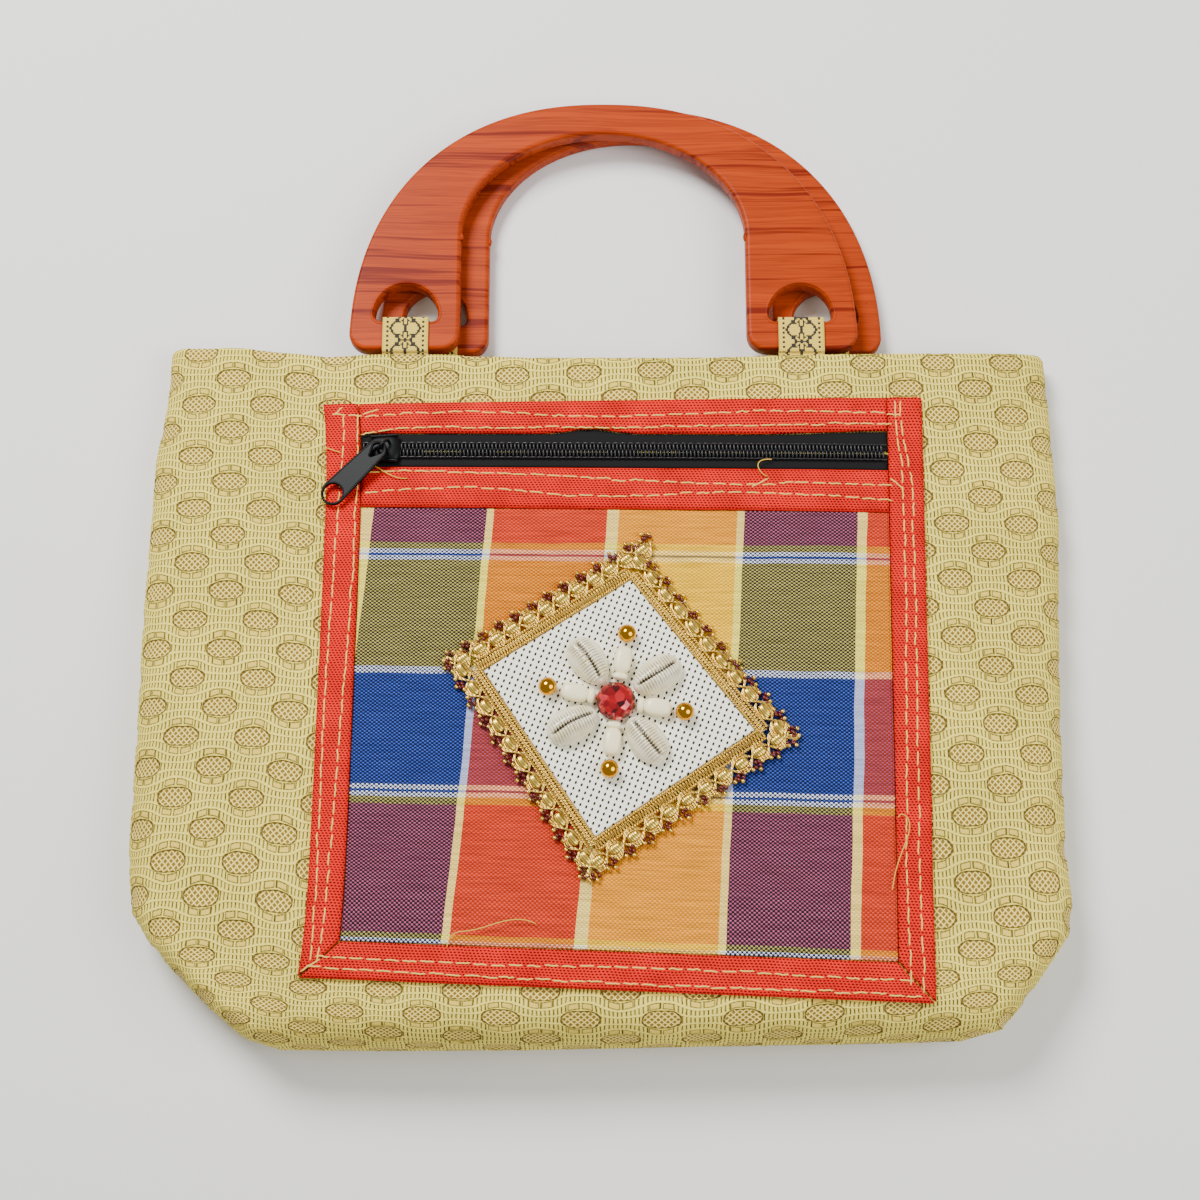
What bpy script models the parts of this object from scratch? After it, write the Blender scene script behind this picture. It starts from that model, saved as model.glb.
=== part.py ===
"""A jute handbag lying on its back: a boxed cloth bag, a plaid zip pocket with a bead
and shell patch, and two D-shaped plate handles held by ribbon loops.

Metres. +X runs across the bag, +Y from its base to its handles, +Z up out of its front.
The bag rests on z = 0, and the origin is under the middle of its whole length and width.
"""

import math

import bmesh
import bpy
import numpy as np
from mathutils import Matrix, Vector

# Fits

GAP = 0.0003

# The bag's cloth body

BAG_WIDTH = 0.3055
BAG_HEIGHT = 0.2335
BASE_DEPTH = 0.036
MOUTH_DEPTH = 0.018
CLOTH = 0.0022
SIDE_ROLL = 0.010
BASE_ROLL = 0.014
SEAM_BAND = 0.0015
SEAM_SHARE = 0.36
SIDE_SLOPE = 0.30
HALF_WIDTH = BAG_WIDTH / 2

# The sides from base to mouth, as shares of the bag's height and of half its width
SIDES = (
    # height, left side, right side
    (0.000, 0.665, 0.735),
    (0.014, 0.738, 0.820),
    (0.050, 0.805, 0.868),
    (0.095, 0.880, 0.920),
    (0.140, 0.944, 0.970),
    (0.180, 0.984, 0.980),
    (0.255, 0.999, 0.972),
    (0.450, 0.997, 0.978),
    (0.600, 0.998, 0.988),
    (0.740, 0.992, 1.000),
    (0.830, 0.990, 0.995),
    (0.915, 0.971, 0.991),
    (1.000, 0.967, 0.985),
)
# The base and mouth lines across the bag, as shares of half its width and of its height
ENDS = (
    # across, base lift, mouth drop
    (-1.00, 0.004, 0.000),
    (-0.80, 0.003, 0.005),
    (-0.62, 0.001, 0.020),
    (-0.45, 0.000, 0.016),
    (-0.17, 0.001, 0.023),
    (0.22, 0.006, 0.023),
    (0.53, 0.009, 0.017),
    (0.80, 0.014, 0.013),
    (1.00, 0.020, 0.010),
)
# How full the bag stands, from the mouth's depth at 0 to the base's at 1
FULLNESS = (
    # height, share
    (0.00, 1.00),
    (0.15, 0.93),
    (0.35, 0.72),
    (0.60, 0.43),
    (0.85, 0.15),
    (1.00, 0.00),
)
# Soft hollows of the front, as shares of half the width, the height and the base's depth
DENTS = (
    # across, height, reach, depth
    (-0.80, 0.55, 0.22, 0.050),
    (0.86, 0.60, 0.20, 0.045),
    (-0.78, 0.90, 0.18, 0.030),
    (0.74, 0.20, 0.17, 0.055),
    (-0.70, 0.16, 0.15, 0.050),
    (0.10, 0.30, 0.35, 0.025),
)
SIDE_PATCHES = 24
HEIGHT_PATCHES = 17
BACK_PATCHES = 10
ROLL_ANGLES = (30, 60, 90)

# The zip pocket, a plaid cloth framed in red tape

POCKET_WIDTH = 0.198
POCKET_HEIGHT = 0.191
POCKET_DROP = 0.0216
POCKET_SHIFT = 0.00515
POCKET_CLOTH = 0.0010
BINDING = 0.0017
SIDE_TAPE = 0.0115
TOP_TAPE = 0.0105
MIDDLE_TAPE = 0.0142
BASE_TAPE = 0.0114
ZIP_WINDOW = 0.0123
POCKET_BOW = 0.0024
BOW_FLATNESS = 6
ZIP_SAG = 0.0026
# How far each corner of the pocket strays from square, as shares of its half sizes
POCKET_CORNERS = (
    # side, end, across, along
    (-1, 1, 0.002, -0.014),
    (1, 1, 0.024, 0.014),
    (1, -1, -0.024, -0.041),
    (-1, -1, -0.002, 0.041),
)
CLOTH_STEP = 0.0115

# The zip

ZIP_TAPE = 0.0006
ZIP_SLOT = 0.0012
COIL_WIDTH = 0.0056
COIL_HEIGHT = 0.0016
SLIDER_LENGTH = 0.0110
SLIDER_PLATE = 0.0010
SLIDER_CHEEK = 0.0014
SLIDER_EDGE = 0.0005
SLIDER_FROM_TAPE = 0.0080
BRIDGE_WIDTH = 0.0020
BRIDGE_STRIP = 0.0009
PULL_LENGTH = 0.0271
PULL_WIDTH = 0.0082
PULL_THICK = 0.0016
PULL_BAR = 0.0013
PULL_EDGE = 0.0003
PULL_CORNER = 0.0010
PULL_PLAY = 0.0013
PULL_HOLE = 0.0065
PULL_WINDOW = 0.0036
PULL_TURN = 225.0

# The patch, its lace frame and its flower

PATCH_SIDE = 0.0615
PATCH_CLOTH = 0.0008
PATCH_TURN = 34.5
PATCH_SHIFT = -0.0024
PATCH_LIFT = 0.0045
LACE_WIDTH = 0.0112
LACE = 0.0020
# How far each corner of the patch strays from square, as shares of half its side
PATCH_CORNERS = (
    # side, end, across, along
    (1, 1, -0.110, 0.010),
    (1, -1, 0.025, -0.055),
    (-1, -1, 0.033, -0.033),
    (-1, 1, 0.055, 0.072),
)
GEM_WIDTH = 0.0127
GEM_HEIGHT = 0.0046
GEM_SIDES = 12
SHELL_LENGTH = 0.0174
SHELL_WIDTH = 0.0114
SHELL_HEIGHT = 0.0058
SHELL_REACH = 0.0157
SHELL_TAPER = 0.12
SHELL_BELLY = 0.20
SHELL_SLIT = 0.16
SLIT_SPREAD = 0.22
RICE_LENGTH = 0.0090
RICE_WIDTH = 0.0043
RICE_REACH = 0.0134
BALL_WIDTH = 0.0055
BALL_REACH = 0.0221
# The flower's shells and bead rays, each by its own direction from the gem
PETALS = (
    # name, shell direction, ray direction
    ("1", 32.4, -9.5),
    ("2", 123.7, 80.5),
    ("3", 208.6, 168.5),
    ("4", 307.7, 264.5),
)

# The handles, two flat D plates

HANDLE_WIDTH = 0.1732
HANDLE_RISE = 0.0916
HANDLE_INNER = 0.0978
HANDLE_LEG = 0.0416
HANDLE_ARCH = 0.0117
HANDLE_THICK = 0.0065
HANDLE_EDGE = 0.0014
HANDLE_CORNER = 0.0065
HANDLE_SQUARE = 2.25
HANDLE_SEAT = 0.0018
SLOT_WIDTH = 0.0215
SLOT_RISE = 0.0130
SLOT_BAR = 0.0104
SLOT_CORNER = 0.0022
SLOT_SPREAD = 0.1344
BACK_SHIFT = 0.0093
BACK_LIFT = 0.0015

# The ribbon loops

RIBBON = 0.0006
RIBBON_WIDTH = 0.0155
RIBBON_TAIL = 0.020
RIBBON_BEND = 0.0005
RIBBON_PLAY = 0.0005
SLOT_PLAY = 0.0006

# Heights of the layers above the bag's front

TAPE_LIFT = GAP
COIL_LIFT = TAPE_LIFT + ZIP_TAPE + GAP
PATCH_BASE = GAP + POCKET_CLOTH + GAP
BEAD_LIFT = PATCH_BASE + PATCH_CLOTH + 1.5 * GAP
SLIDER_WIDTH = COIL_WIDTH + 2 * (GAP + SLIDER_CHEEK)
SLIDER_HEIGHT = COIL_HEIGHT + GAP + SLIDER_PLATE
PIVOT_HEIGHT = PULL_THICK / 2 + PULL_PLAY
SLOPE_STEP = 0.004


def column(table, index):
    return np.array([row[index] for row in table])


HEIGHT_SHARE, LEFT_SHARE, RIGHT_SHARE = (column(SIDES, i) for i in range(3))
ACROSS, BASE_LIFT, MOUTH_FALL = (column(ENDS, i) for i in range(3))
FULL_AT, FULL_SHARE = (column(FULLNESS, i) for i in range(2))


def mouth_fall(x):
    return BAG_HEIGHT * np.interp(x / HALF_WIDTH, ACROSS, MOUTH_FALL)


SLOT_X = SLOT_SPREAD / 2
HANDLE_FROM_MOUTH = HANDLE_SEAT - min(mouth_fall(SLOT_X), mouth_fall(-SLOT_X))
Y_BASE = -(BAG_HEIGHT + HANDLE_FROM_MOUTH + BACK_LIFT + HANDLE_RISE) / 2
Y_MOUTH = Y_BASE + BAG_HEIGHT
HANDLE_FOOT = Y_MOUTH + HANDLE_FROM_MOUTH
POCKET_Y = Y_MOUTH - POCKET_DROP - POCKET_HEIGHT / 2
ZIP_TOP = POCKET_HEIGHT / 2 - TOP_TAPE
ZIP_BOTTOM = ZIP_TOP - ZIP_WINDOW
PLAID_TOP = ZIP_BOTTOM - MIDDLE_TAPE
PLAID_BOTTOM = -POCKET_HEIGHT / 2 + BASE_TAPE
INNER_X = POCKET_WIDTH / 2 - SIDE_TAPE
ZIP_LINE = (ZIP_TOP + ZIP_BOTTOM) / 2


# Shape of the front


def side_limits(y):
    """The x of the left and right sides at a height."""
    share = (y - Y_BASE) / BAG_HEIGHT
    left = -HALF_WIDTH * np.interp(share, HEIGHT_SHARE, LEFT_SHARE)
    right = HALF_WIDTH * np.interp(share, HEIGHT_SHARE, RIGHT_SHARE)
    return left, right


def front_height(x, y):
    """Height of the front cloth's outer face: deepest at the base, falling to the sides."""
    x, y = np.asarray(x, float), np.asarray(y, float)
    share = (y - Y_BASE) / BAG_HEIGHT
    full = np.interp(share, FULL_AT, FULL_SHARE)
    depth = MOUTH_DEPTH + (BASE_DEPTH - MOUTH_DEPTH) * full
    across = x / HALF_WIDTH
    z = depth * (1 - SIDE_SLOPE * across**4)
    for dent_x, dent_y, reach, depth_share in DENTS:
        far = ((across - dent_x) ** 2 + (share - dent_y) ** 2) / reach**2
        z = z - BASE_DEPTH * depth_share * np.exp(-2 * far) * (1 - share**6)
    return z


def seam_height(x, y):
    """Height of the side and base seams, where front and back cloth meet."""
    share = (np.asarray(y, float) - Y_BASE) / BAG_HEIGHT
    full = np.interp(share, FULL_AT, FULL_SHARE)
    return SEAM_SHARE * (MOUTH_DEPTH + (BASE_DEPTH - MOUTH_DEPTH) * full)


def on_front(x, y, lift):
    """Points a given height above the front cloth."""
    return np.stack([x, y, front_height(x, y) + lift], axis=-1)


def seat_matrix(x, y, lift, turn):
    """A frame on the front: its Z along the surface's normal, its X turned in the surface."""
    step = SLOPE_STEP
    slope_x = (front_height(x + step, y) - front_height(x - step, y)) / (2 * step)
    slope_y = (front_height(x, y + step) - front_height(x, y - step)) / (2 * step)
    normal = Vector((-slope_x, -slope_y, 1)).normalized()
    place = Vector((x, y, float(front_height(x, y)))) + normal * lift
    tilt = Vector((0, 0, 1)).rotation_difference(normal).to_matrix().to_4x4()
    turned = Matrix.Rotation(math.radians(turn), 4, "Z")
    return Matrix.Translation(place) @ tilt @ turned


# Blender helpers


def clear_scene():
    for old in list(bpy.data.objects):
        bpy.data.objects.remove(old, do_unlink=True)


def material(name, colour, roughness, metallic=0.0):
    made = bpy.data.materials.new(name)
    made.use_nodes = True
    shader = made.node_tree.nodes["Principled BSDF"]
    shader.inputs["Base Color"].default_value = (*colour, 1.0)
    shader.inputs["Roughness"].default_value = roughness
    shader.inputs["Metallic"].default_value = metallic
    return made


def new_collection(name):
    made = bpy.data.collections.new(name)
    bpy.context.scene.collection.children.link(made)
    return made


def place(name, data, group, finish=None):
    made = bpy.data.objects.new(name, data)
    group.objects.link(made)
    if finish is not None:
        data.materials.append(finish)
    return made


def mesh_from(bm, name):
    data = bpy.data.meshes.new(name)
    bm.to_mesh(data)
    bm.free()
    return data


def grid_mesh(name, points):
    """A sheet of quads through a grid of points, with rows along its first axis."""
    rows, cols = points.shape[:2]
    bm = bmesh.new()
    bmesh.ops.create_grid(bm, x_segments=cols - 1, y_segments=rows - 1, size=1)
    bm.verts.ensure_lookup_table()
    for vert, point in zip(bm.verts, points.reshape(-1, 3)):
        vert.co = point
    bmesh.ops.remove_doubles(bm, verts=bm.verts, dist=1e-6)
    return mesh_from(bm, name)


def sheet(name, points, thickness, offset, group, finish):
    """A cloth wall of even thickness: offset 1 thickens upwards, -1 inwards."""
    made = place(name, grid_mesh(name, points), group, finish)
    wall = made.modifiers.new("Wall", "SOLIDIFY")
    wall.thickness = thickness
    wall.offset = offset
    made.data.shade_smooth()
    return made


def cut(target, cutter, operation="DIFFERENCE"):
    change = target.modifiers.new(cutter.name, "BOOLEAN")
    change.operation = operation
    change.object = cutter
    change.solver = "EXACT"


def box(name, size, centre, group, finish=None):
    bm = bmesh.new()
    bmesh.ops.create_cube(bm, size=1)
    bmesh.ops.scale(bm, vec=Vector(size), verts=bm.verts)
    bmesh.ops.translate(bm, vec=Vector(centre), verts=bm.verts)
    return place(name, mesh_from(bm, name), group, finish)


def helper(made, matrix):
    made.matrix_world = matrix
    made.hide_render = True
    made.display_type = "WIRE"
    return made


def flat_plate(name, outlines, thickness, edge, group, finish):
    """A board cut to its outlines, the first outside and the others holes, edges rounded."""
    data = bpy.data.curves.new(name, "CURVE")
    data.dimensions = "2D"
    data.fill_mode = "BOTH"
    data.extrude = thickness / 2 - edge
    data.bevel_depth = edge
    data.bevel_resolution = 1
    data.offset = -edge
    for outline in outlines:
        spline = data.splines.new("POLY")
        spline.points.add(len(outline) - 1)
        for point, (x, y) in zip(spline.points, outline):
            point.co = (x, y, 0, 1)
        spline.use_cyclic_u = True
    return place(name, data, group, finish)


def arc(centre, radii, start, end, steps):
    """Points on an ellipse's arc, in degrees, both ends included."""
    turns = [math.radians(start + (end - start) * i / steps) for i in range(steps + 1)]
    return [
        (centre[0] + radii[0] * math.cos(t), centre[1] + radii[1] * math.sin(t))
        for t in turns
    ]


# Bag body


def edge_stations(patches, both_ends):
    """Stations across a panel, each its edge, share, roll angle and if it is off the seam:
    the seam twice, the rolled edge, then even patches."""
    rolled = [(0, 0)] + [(angle, 1) for angle in (0, *ROLL_ANGLES)]
    near = [(0, 0, angle, off) for angle, off in rolled]
    inner = [(0, i / patches, 90, 1) for i in range(1, patches)]
    if not both_ends:
        return np.array(near + inner + [(0, 1, 90, 1)], float).T
    far = [(1, 1, angle, off) for angle, off in reversed(rolled)]
    return np.array(near + inner + far, float).T


def panel_points(patches_x, patches_y, front):
    """A panel's outer face: flat inside, rolled round the sides and base to the seam."""
    edge, across, side_turn, off_side = edge_stations(patches_x, True)
    _, along, base_turn, off_base = edge_stations(patches_y, False)
    up = BASE_ROLL * (1 - np.cos(np.radians(base_turn))) + (BAG_HEIGHT - BASE_ROLL) * along
    left, right = (limit[:, None] for limit in side_limits(Y_BASE + up))
    inset = SIDE_ROLL * (1 - np.cos(np.radians(side_turn)))
    inner = right - left - 2 * SIDE_ROLL
    x = np.where(edge > 0, right - inset, left + inset + inner * across)
    share = (up / BAG_HEIGHT)[:, None]
    lift = BAG_HEIGHT * np.interp(x / HALF_WIDTH, ACROSS, BASE_LIFT)
    y = Y_BASE + up[:, None] + lift * (1 - share) - mouth_fall(x) * share
    roll = np.sin(np.radians(base_turn))[:, None] * np.sin(np.radians(side_turn))
    band = SEAM_BAND * off_base[:, None] * off_side
    seam = seam_height(x, y)
    if front:
        low = seam + GAP / 2 + band
        z = low + (front_height(x, y) - low) * roll
    else:
        z = (seam - GAP / 2 - band) * (1 - roll)
    return np.stack([x, y, z], axis=-1)


def bag_panels(group, jute):
    front = panel_points(SIDE_PATCHES, HEIGHT_PATCHES, True)
    sheet("front_panel", front, CLOTH, -1, group, jute)
    back = panel_points(BACK_PATCHES, BACK_PATCHES, False)
    sheet("back_panel", back[:, ::-1], CLOTH, -1, group, jute)


# Pocket


def strayed(p, q, half_x, half_y, corners):
    """Bilinear shift of a point of a square whose corners stray from their places."""
    across, along = p / half_x, q / half_y
    shift_x, shift_y = 0, 0
    for side, end, stray_x, stray_y in corners:
        weight = (1 + side * across) * (1 + end * along) / 4
        shift_x = shift_x + weight * stray_x * half_x
        shift_y = shift_y + weight * stray_y * half_y
    return shift_x, shift_y


def pocket_xy(p, q):
    """World x and y of a point of the pocket, given from its centre: its corners stray, its
    left edge bows in, and its zip sags towards the right."""
    half_x, half_y = POCKET_WIDTH / 2, POCKET_HEIGHT / 2
    shift_x, shift_y = strayed(p, q, half_x, half_y, POCKET_CORNERS)
    bow = POCKET_BOW * (1 - p / half_x) / 2 * (1 - (q / half_y) ** BOW_FLATNESS)
    near_zip = np.interp(q, (0, PLAID_TOP, ZIP_TOP, half_y), (0, 1, 1, 0))
    sag = ZIP_SAG * (1 + p / half_x) / 2 * near_zip
    return POCKET_SHIFT + p + shift_x + bow, POCKET_Y + q + shift_y - sag


def cells(length):
    return max(1, round(length / CLOTH_STEP))


def pocket_strip(x_range, y_range, mitre=(0, 0, 0, 0)):
    """A grid over part of the pocket. Mitre moves the ends of its four sides:
    the low end of the left and right edge, then the low and high edge's run-out."""
    cols = cells(x_range[1] - x_range[0]) + 1
    rows = cells(y_range[1] - y_range[0]) + 1
    across, along = np.meshgrid(np.linspace(0, 1, cols), np.linspace(0, 1, rows))
    low_y = y_range[0] + mitre[0] * (1 - across) + mitre[1] * across
    q = low_y + (y_range[1] - low_y) * along
    low_x = x_range[0] + mitre[2] * (1 - along)
    high_x = x_range[1] - mitre[3] * (1 - along)
    p = low_x + (high_x - low_x) * across
    return pocket_xy(p, q)


def pocket_pieces(group, plaid, red):
    half_x, half_y = POCKET_WIDTH / 2, POCKET_HEIGHT / 2
    inner = INNER_X - GAP
    mitre_gap = 1.5 * GAP
    strips = (
        # name, from x, to x, from y, to y, mitre
        ("binding_left", -half_x, -INNER_X, -half_y + mitre_gap, half_y, (0, BASE_TAPE, 0, 0)),
        ("binding_right", INNER_X, half_x, -half_y + mitre_gap, half_y, (BASE_TAPE, 0, 0, 0)),
        ("binding_top", -inner, inner, ZIP_TOP, half_y, (0, 0, 0, 0)),
        ("binding_middle", -inner, inner, PLAID_TOP, ZIP_BOTTOM, (0, 0, 0, 0)),
        (
            "binding_bottom",
            -half_x + SIDE_TAPE + mitre_gap,
            half_x - SIDE_TAPE - mitre_gap,
            -half_y,
            PLAID_BOTTOM,
            (0, 0, -SIDE_TAPE, -SIDE_TAPE),
        ),
    )
    for name, x0, x1, y0, y1, mitre in strips:
        x, y = pocket_strip((x0, x1), (y0, y1), mitre)
        sheet(name, on_front(x, y, GAP), BINDING, 1, group, red)
    x, y = pocket_strip((-inner, inner), (PLAID_BOTTOM + GAP, PLAID_TOP - GAP))
    sheet("pocket_cloth", on_front(x, y, GAP), POCKET_CLOTH, 1, group, plaid)


# Zip


def zip_tapes(group, tape):
    inner = INNER_X - GAP
    half_slot = ZIP_SLOT / 2
    sides = (
        ("zip_tape_upper", ZIP_LINE + half_slot, ZIP_TOP - GAP),
        ("zip_tape_lower", ZIP_BOTTOM + GAP, ZIP_LINE - half_slot),
    )
    for name, low, high in sides:
        x, y = pocket_strip((-inner, inner), (low, high))
        sheet(name, on_front(x, y, TAPE_LIFT), ZIP_TAPE, 1, group, tape)


def zip_coil(group, nylon):
    """The closed coil: a low rounded bar along the zip, through the slider."""
    inner = INNER_X - GAP
    cols = cells(2 * inner) + 1
    turns = np.radians(np.linspace(0, 360, 9)[:-1])
    half = (COIL_WIDTH / 2, COIL_HEIGHT / 2)
    p = np.linspace(-inner, inner, cols)
    rings = []
    for turn in turns:
        q = ZIP_LINE + half[0] * np.cos(turn)
        x, y = pocket_xy(p, np.full_like(p, q))
        rings.append(on_front(x, y, COIL_LIFT + half[1] * (1 + np.sin(turn))))
    bm = bmesh.new()
    loops = [[bm.verts.new(ring[i]) for ring in rings] for i in range(cols)]
    for near, far in zip(loops, loops[1:]):
        for i in range(len(turns)):
            j = (i + 1) % len(turns)
            bm.faces.new((near[i], near[j], far[j], far[i]))
    bm.faces.new(loops[0])
    bm.faces.new(loops[-1])
    bmesh.ops.recalc_face_normals(bm, faces=bm.faces)
    made = place("zip_coil", mesh_from(bm, "zip_coil"), group, nylon)
    made.data.shade_smooth()


def slider_frame(lift):
    """The slider's own frame on the front, its X along the zip."""
    p = -INNER_X + SLIDER_FROM_TAPE
    x, y = pocket_xy(p, ZIP_LINE)
    far_x, far_y = pocket_xy(p + SLIDER_LENGTH, ZIP_LINE)
    turn = math.degrees(math.atan2(far_y - y, far_x - x))
    return seat_matrix(float(x), float(y), lift, turn), turn


def zip_slider(group, cutters, enamel):
    """A plate with two cheeks over the coil, and the bridge that holds the pull."""
    frame, turn = slider_frame(COIL_LIFT)
    size = (SLIDER_LENGTH, SLIDER_WIDTH, SLIDER_HEIGHT)
    body = box("zip_slider", size, (0, 0, SLIDER_HEIGHT / 2), group, enamel)
    body.matrix_world = frame
    rounding = body.modifiers.new("Round", "BEVEL")
    rounding.width = SLIDER_EDGE
    rounding.segments = 1
    play = COIL_HEIGHT + GAP
    room = (2 * SLIDER_LENGTH, COIL_WIDTH + 2 * GAP, 2 * play)
    channel = box("slider_channel", room, (0, 0, 0), cutters)
    cut(body, helper(channel, frame))
    along_pull = frame @ Matrix.Rotation(math.radians(PULL_TURN - turn), 4, "Z")
    inner_length = PULL_BAR + 2 * PULL_PLAY
    inner_height = PIVOT_HEIGHT + math.hypot(PULL_BAR, PULL_THICK) / 2 + GAP
    outer = (inner_length + 2 * BRIDGE_STRIP, BRIDGE_WIDTH, inner_height + BRIDGE_STRIP + GAP)
    arch = box("slider_bridge", outer, (0, 0, SLIDER_HEIGHT - GAP + outer[2] / 2), cutters)
    cut(body, helper(arch, along_pull), "UNION")
    window = (inner_length, 3 * BRIDGE_WIDTH, inner_height)
    hole = box("bridge_hole", window, (0, 0, SLIDER_HEIGHT + inner_height / 2), cutters)
    cut(body, helper(hole, along_pull))


def zip_pull(group, enamel):
    """A flat tongue with a ring hole, hung by its end bar under the slider's bridge."""
    half, corner = PULL_WIDTH / 2, PULL_CORNER
    near = -PULL_BAR / 2
    far = PULL_LENGTH - half
    outline = [(near, -half + corner), (near + corner, -half)]
    outline += arc((far, 0), (half, half), -90, 90, 12)
    outline += [(near + corner, half), (near, half - corner)]
    hole = arc((far, 0), (PULL_HOLE / 2, PULL_HOLE / 2), 360, 24, 14)
    rail = BRIDGE_WIDTH / 2 + 2 * GAP
    bar, end = PULL_BAR / 2, PULL_BAR / 2 + PULL_WINDOW
    window = [(bar, rail), (end, rail), (end, -rail), (bar, -rail)]
    outlines = (outline, hole, window)
    pull = flat_plate("zip_pull", outlines, PULL_THICK, PULL_EDGE, group, enamel)
    pivot = COIL_LIFT + SLIDER_HEIGHT + PIVOT_HEIGHT
    frame, turn = slider_frame(pivot)
    rest = GAP + BINDING + 1.5 * GAP + PULL_THICK / 2
    down = math.asin((pivot - rest) / (far + half))
    along_pull = Matrix.Rotation(math.radians(PULL_TURN - turn), 4, "Z")
    pull.matrix_world = frame @ along_pull @ Matrix.Rotation(down, 4, "Y")


# Patch and flower


def patch_centre():
    plaid_middle = (PLAID_TOP + PLAID_BOTTOM) / 2
    x, y = pocket_xy(PATCH_SHIFT, plaid_middle + PATCH_LIFT)
    return float(x), float(y)


def patch_xy(a, b):
    """World x and y of a point of the patch, given from its centre along its sides."""
    half = PATCH_SIDE / 2
    shift_a, shift_b = strayed(a, b, half, half, PATCH_CORNERS)
    a, b = a + shift_a, b + shift_b
    turn = math.radians(PATCH_TURN)
    x, y = patch_centre()
    return (
        x + a * math.cos(turn) - b * math.sin(turn),
        y + a * math.sin(turn) + b * math.cos(turn),
    )


def patch_pieces(group, canvas, gold):
    inner = PATCH_SIDE / 2 - GAP
    side = np.linspace(-inner, inner, cells(2 * inner) + 2)
    a, b = np.meshgrid(side, side)
    sheet("patch_cloth", on_front(*patch_xy(a, b), PATCH_BASE), PATCH_CLOTH, 1, group, canvas)
    low, high = PATCH_SIDE / 2, PATCH_SIDE / 2 + LACE_WIDTH
    steps = cells(2 * high) + 1
    out, along = np.meshgrid(np.linspace(low, high, 3), np.linspace(-1, 1, steps))
    run = along * (out - GAP)
    for number, (c, s) in enumerate(((1, 0), (0, 1), (-1, 0), (0, -1)), 1):
        a, b = out * c - run * s, out * s + run * c
        sheet(f"lace_strip_{number}", on_front(*patch_xy(a, b), PATCH_BASE), LACE, 1, group, gold)


def gem_mesh(name):
    """A flat-backed stone: girdle, two rows of crown facets and a table."""
    levels = (
        # radius share, height share, turned half a side
        (0.90, 0.00, 0),
        (1.00, 0.28, 0),
        (1.00, 0.36, 0),
        (0.80, 0.72, 1),
        (0.52, 1.00, 0),
    )
    bm = bmesh.new()
    rings = []
    for radius, height, turned in levels:
        ring = []
        for i in range(GEM_SIDES):
            turn = math.tau * (i + turned / 2) / GEM_SIDES
            r = GEM_WIDTH / 2 * radius
            ring.append(
                bm.verts.new((r * math.cos(turn), r * math.sin(turn), GEM_HEIGHT * height))
            )
        rings.append(ring)
    bm.faces.new(rings[0][::-1])
    bm.faces.new(rings[-1])
    for lower, upper, (_, _, turned) in zip(rings, rings[1:], levels[1:]):
        for i in range(GEM_SIDES):
            j = (i + 1) % GEM_SIDES
            bm.faces.new((lower[i], lower[j], upper[i]))
            bm.faces.new((lower[j], upper[j], upper[i]))
    bmesh.ops.recalc_face_normals(bm, faces=bm.faces)
    return mesh_from(bm, name)


def shell_mesh(name):
    """A cowrie: a domed egg with a flat back and a slit along its crown."""
    bm = bmesh.new()
    bmesh.ops.create_uvsphere(bm, u_segments=14, v_segments=9, radius=1)
    for vert in bm.verts:
        x, y, z = vert.co
        width = SHELL_WIDTH / 2 * (1 + SHELL_TAPER * x)
        dome = 1 - SHELL_BELLY if z > 0 else SHELL_BELLY
        slit = SHELL_SLIT * math.exp(-((y / SLIT_SPREAD) ** 2)) if z > 0 else 0
        height = SHELL_HEIGHT * (dome * z - slit + SHELL_BELLY)
        vert.co = (SHELL_LENGTH / 2 * x, width * y, height)
    return mesh_from(bm, name)


def bead_mesh(name, length, width):
    """A bead lying on its side, its bottom at z = 0."""
    bm = bmesh.new()
    bmesh.ops.create_uvsphere(bm, u_segments=12, v_segments=8, radius=0.5)
    bmesh.ops.scale(bm, vec=Vector((length, width, width)), verts=bm.verts)
    bmesh.ops.translate(bm, vec=Vector((0, 0, width / 2)), verts=bm.verts)
    return mesh_from(bm, name)


def flower(group, ruby, cowrie, ivory, gold):
    x, y = patch_centre()
    gem = place("centre_gem", gem_mesh("centre_gem"), group, ruby)
    gem.matrix_world = seat_matrix(x, y, BEAD_LIFT, 0)
    for number, shell_turn, ray_turn in PETALS:
        pieces = (
            (f"cowrie_{number}", shell_mesh(f"cowrie_{number}"), SHELL_REACH, shell_turn, cowrie),
            (
                f"rice_bead_{number}",
                bead_mesh(f"rice_bead_{number}", RICE_LENGTH, RICE_WIDTH),
                RICE_REACH,
                ray_turn,
                ivory,
            ),
            (
                f"gold_bead_{number}",
                bead_mesh(f"gold_bead_{number}", BALL_WIDTH, BALL_WIDTH),
                BALL_REACH,
                ray_turn,
                gold,
            ),
        )
        for name, data, reach, turn, finish in pieces:
            made = place(name, data, group, finish)
            made.data.shade_smooth()
            angle = math.radians(turn)
            at_x, at_y = x + reach * math.cos(angle), y + reach * math.sin(angle)
            made.matrix_world = seat_matrix(at_x, at_y, BEAD_LIFT, turn)


# Handles


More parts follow.
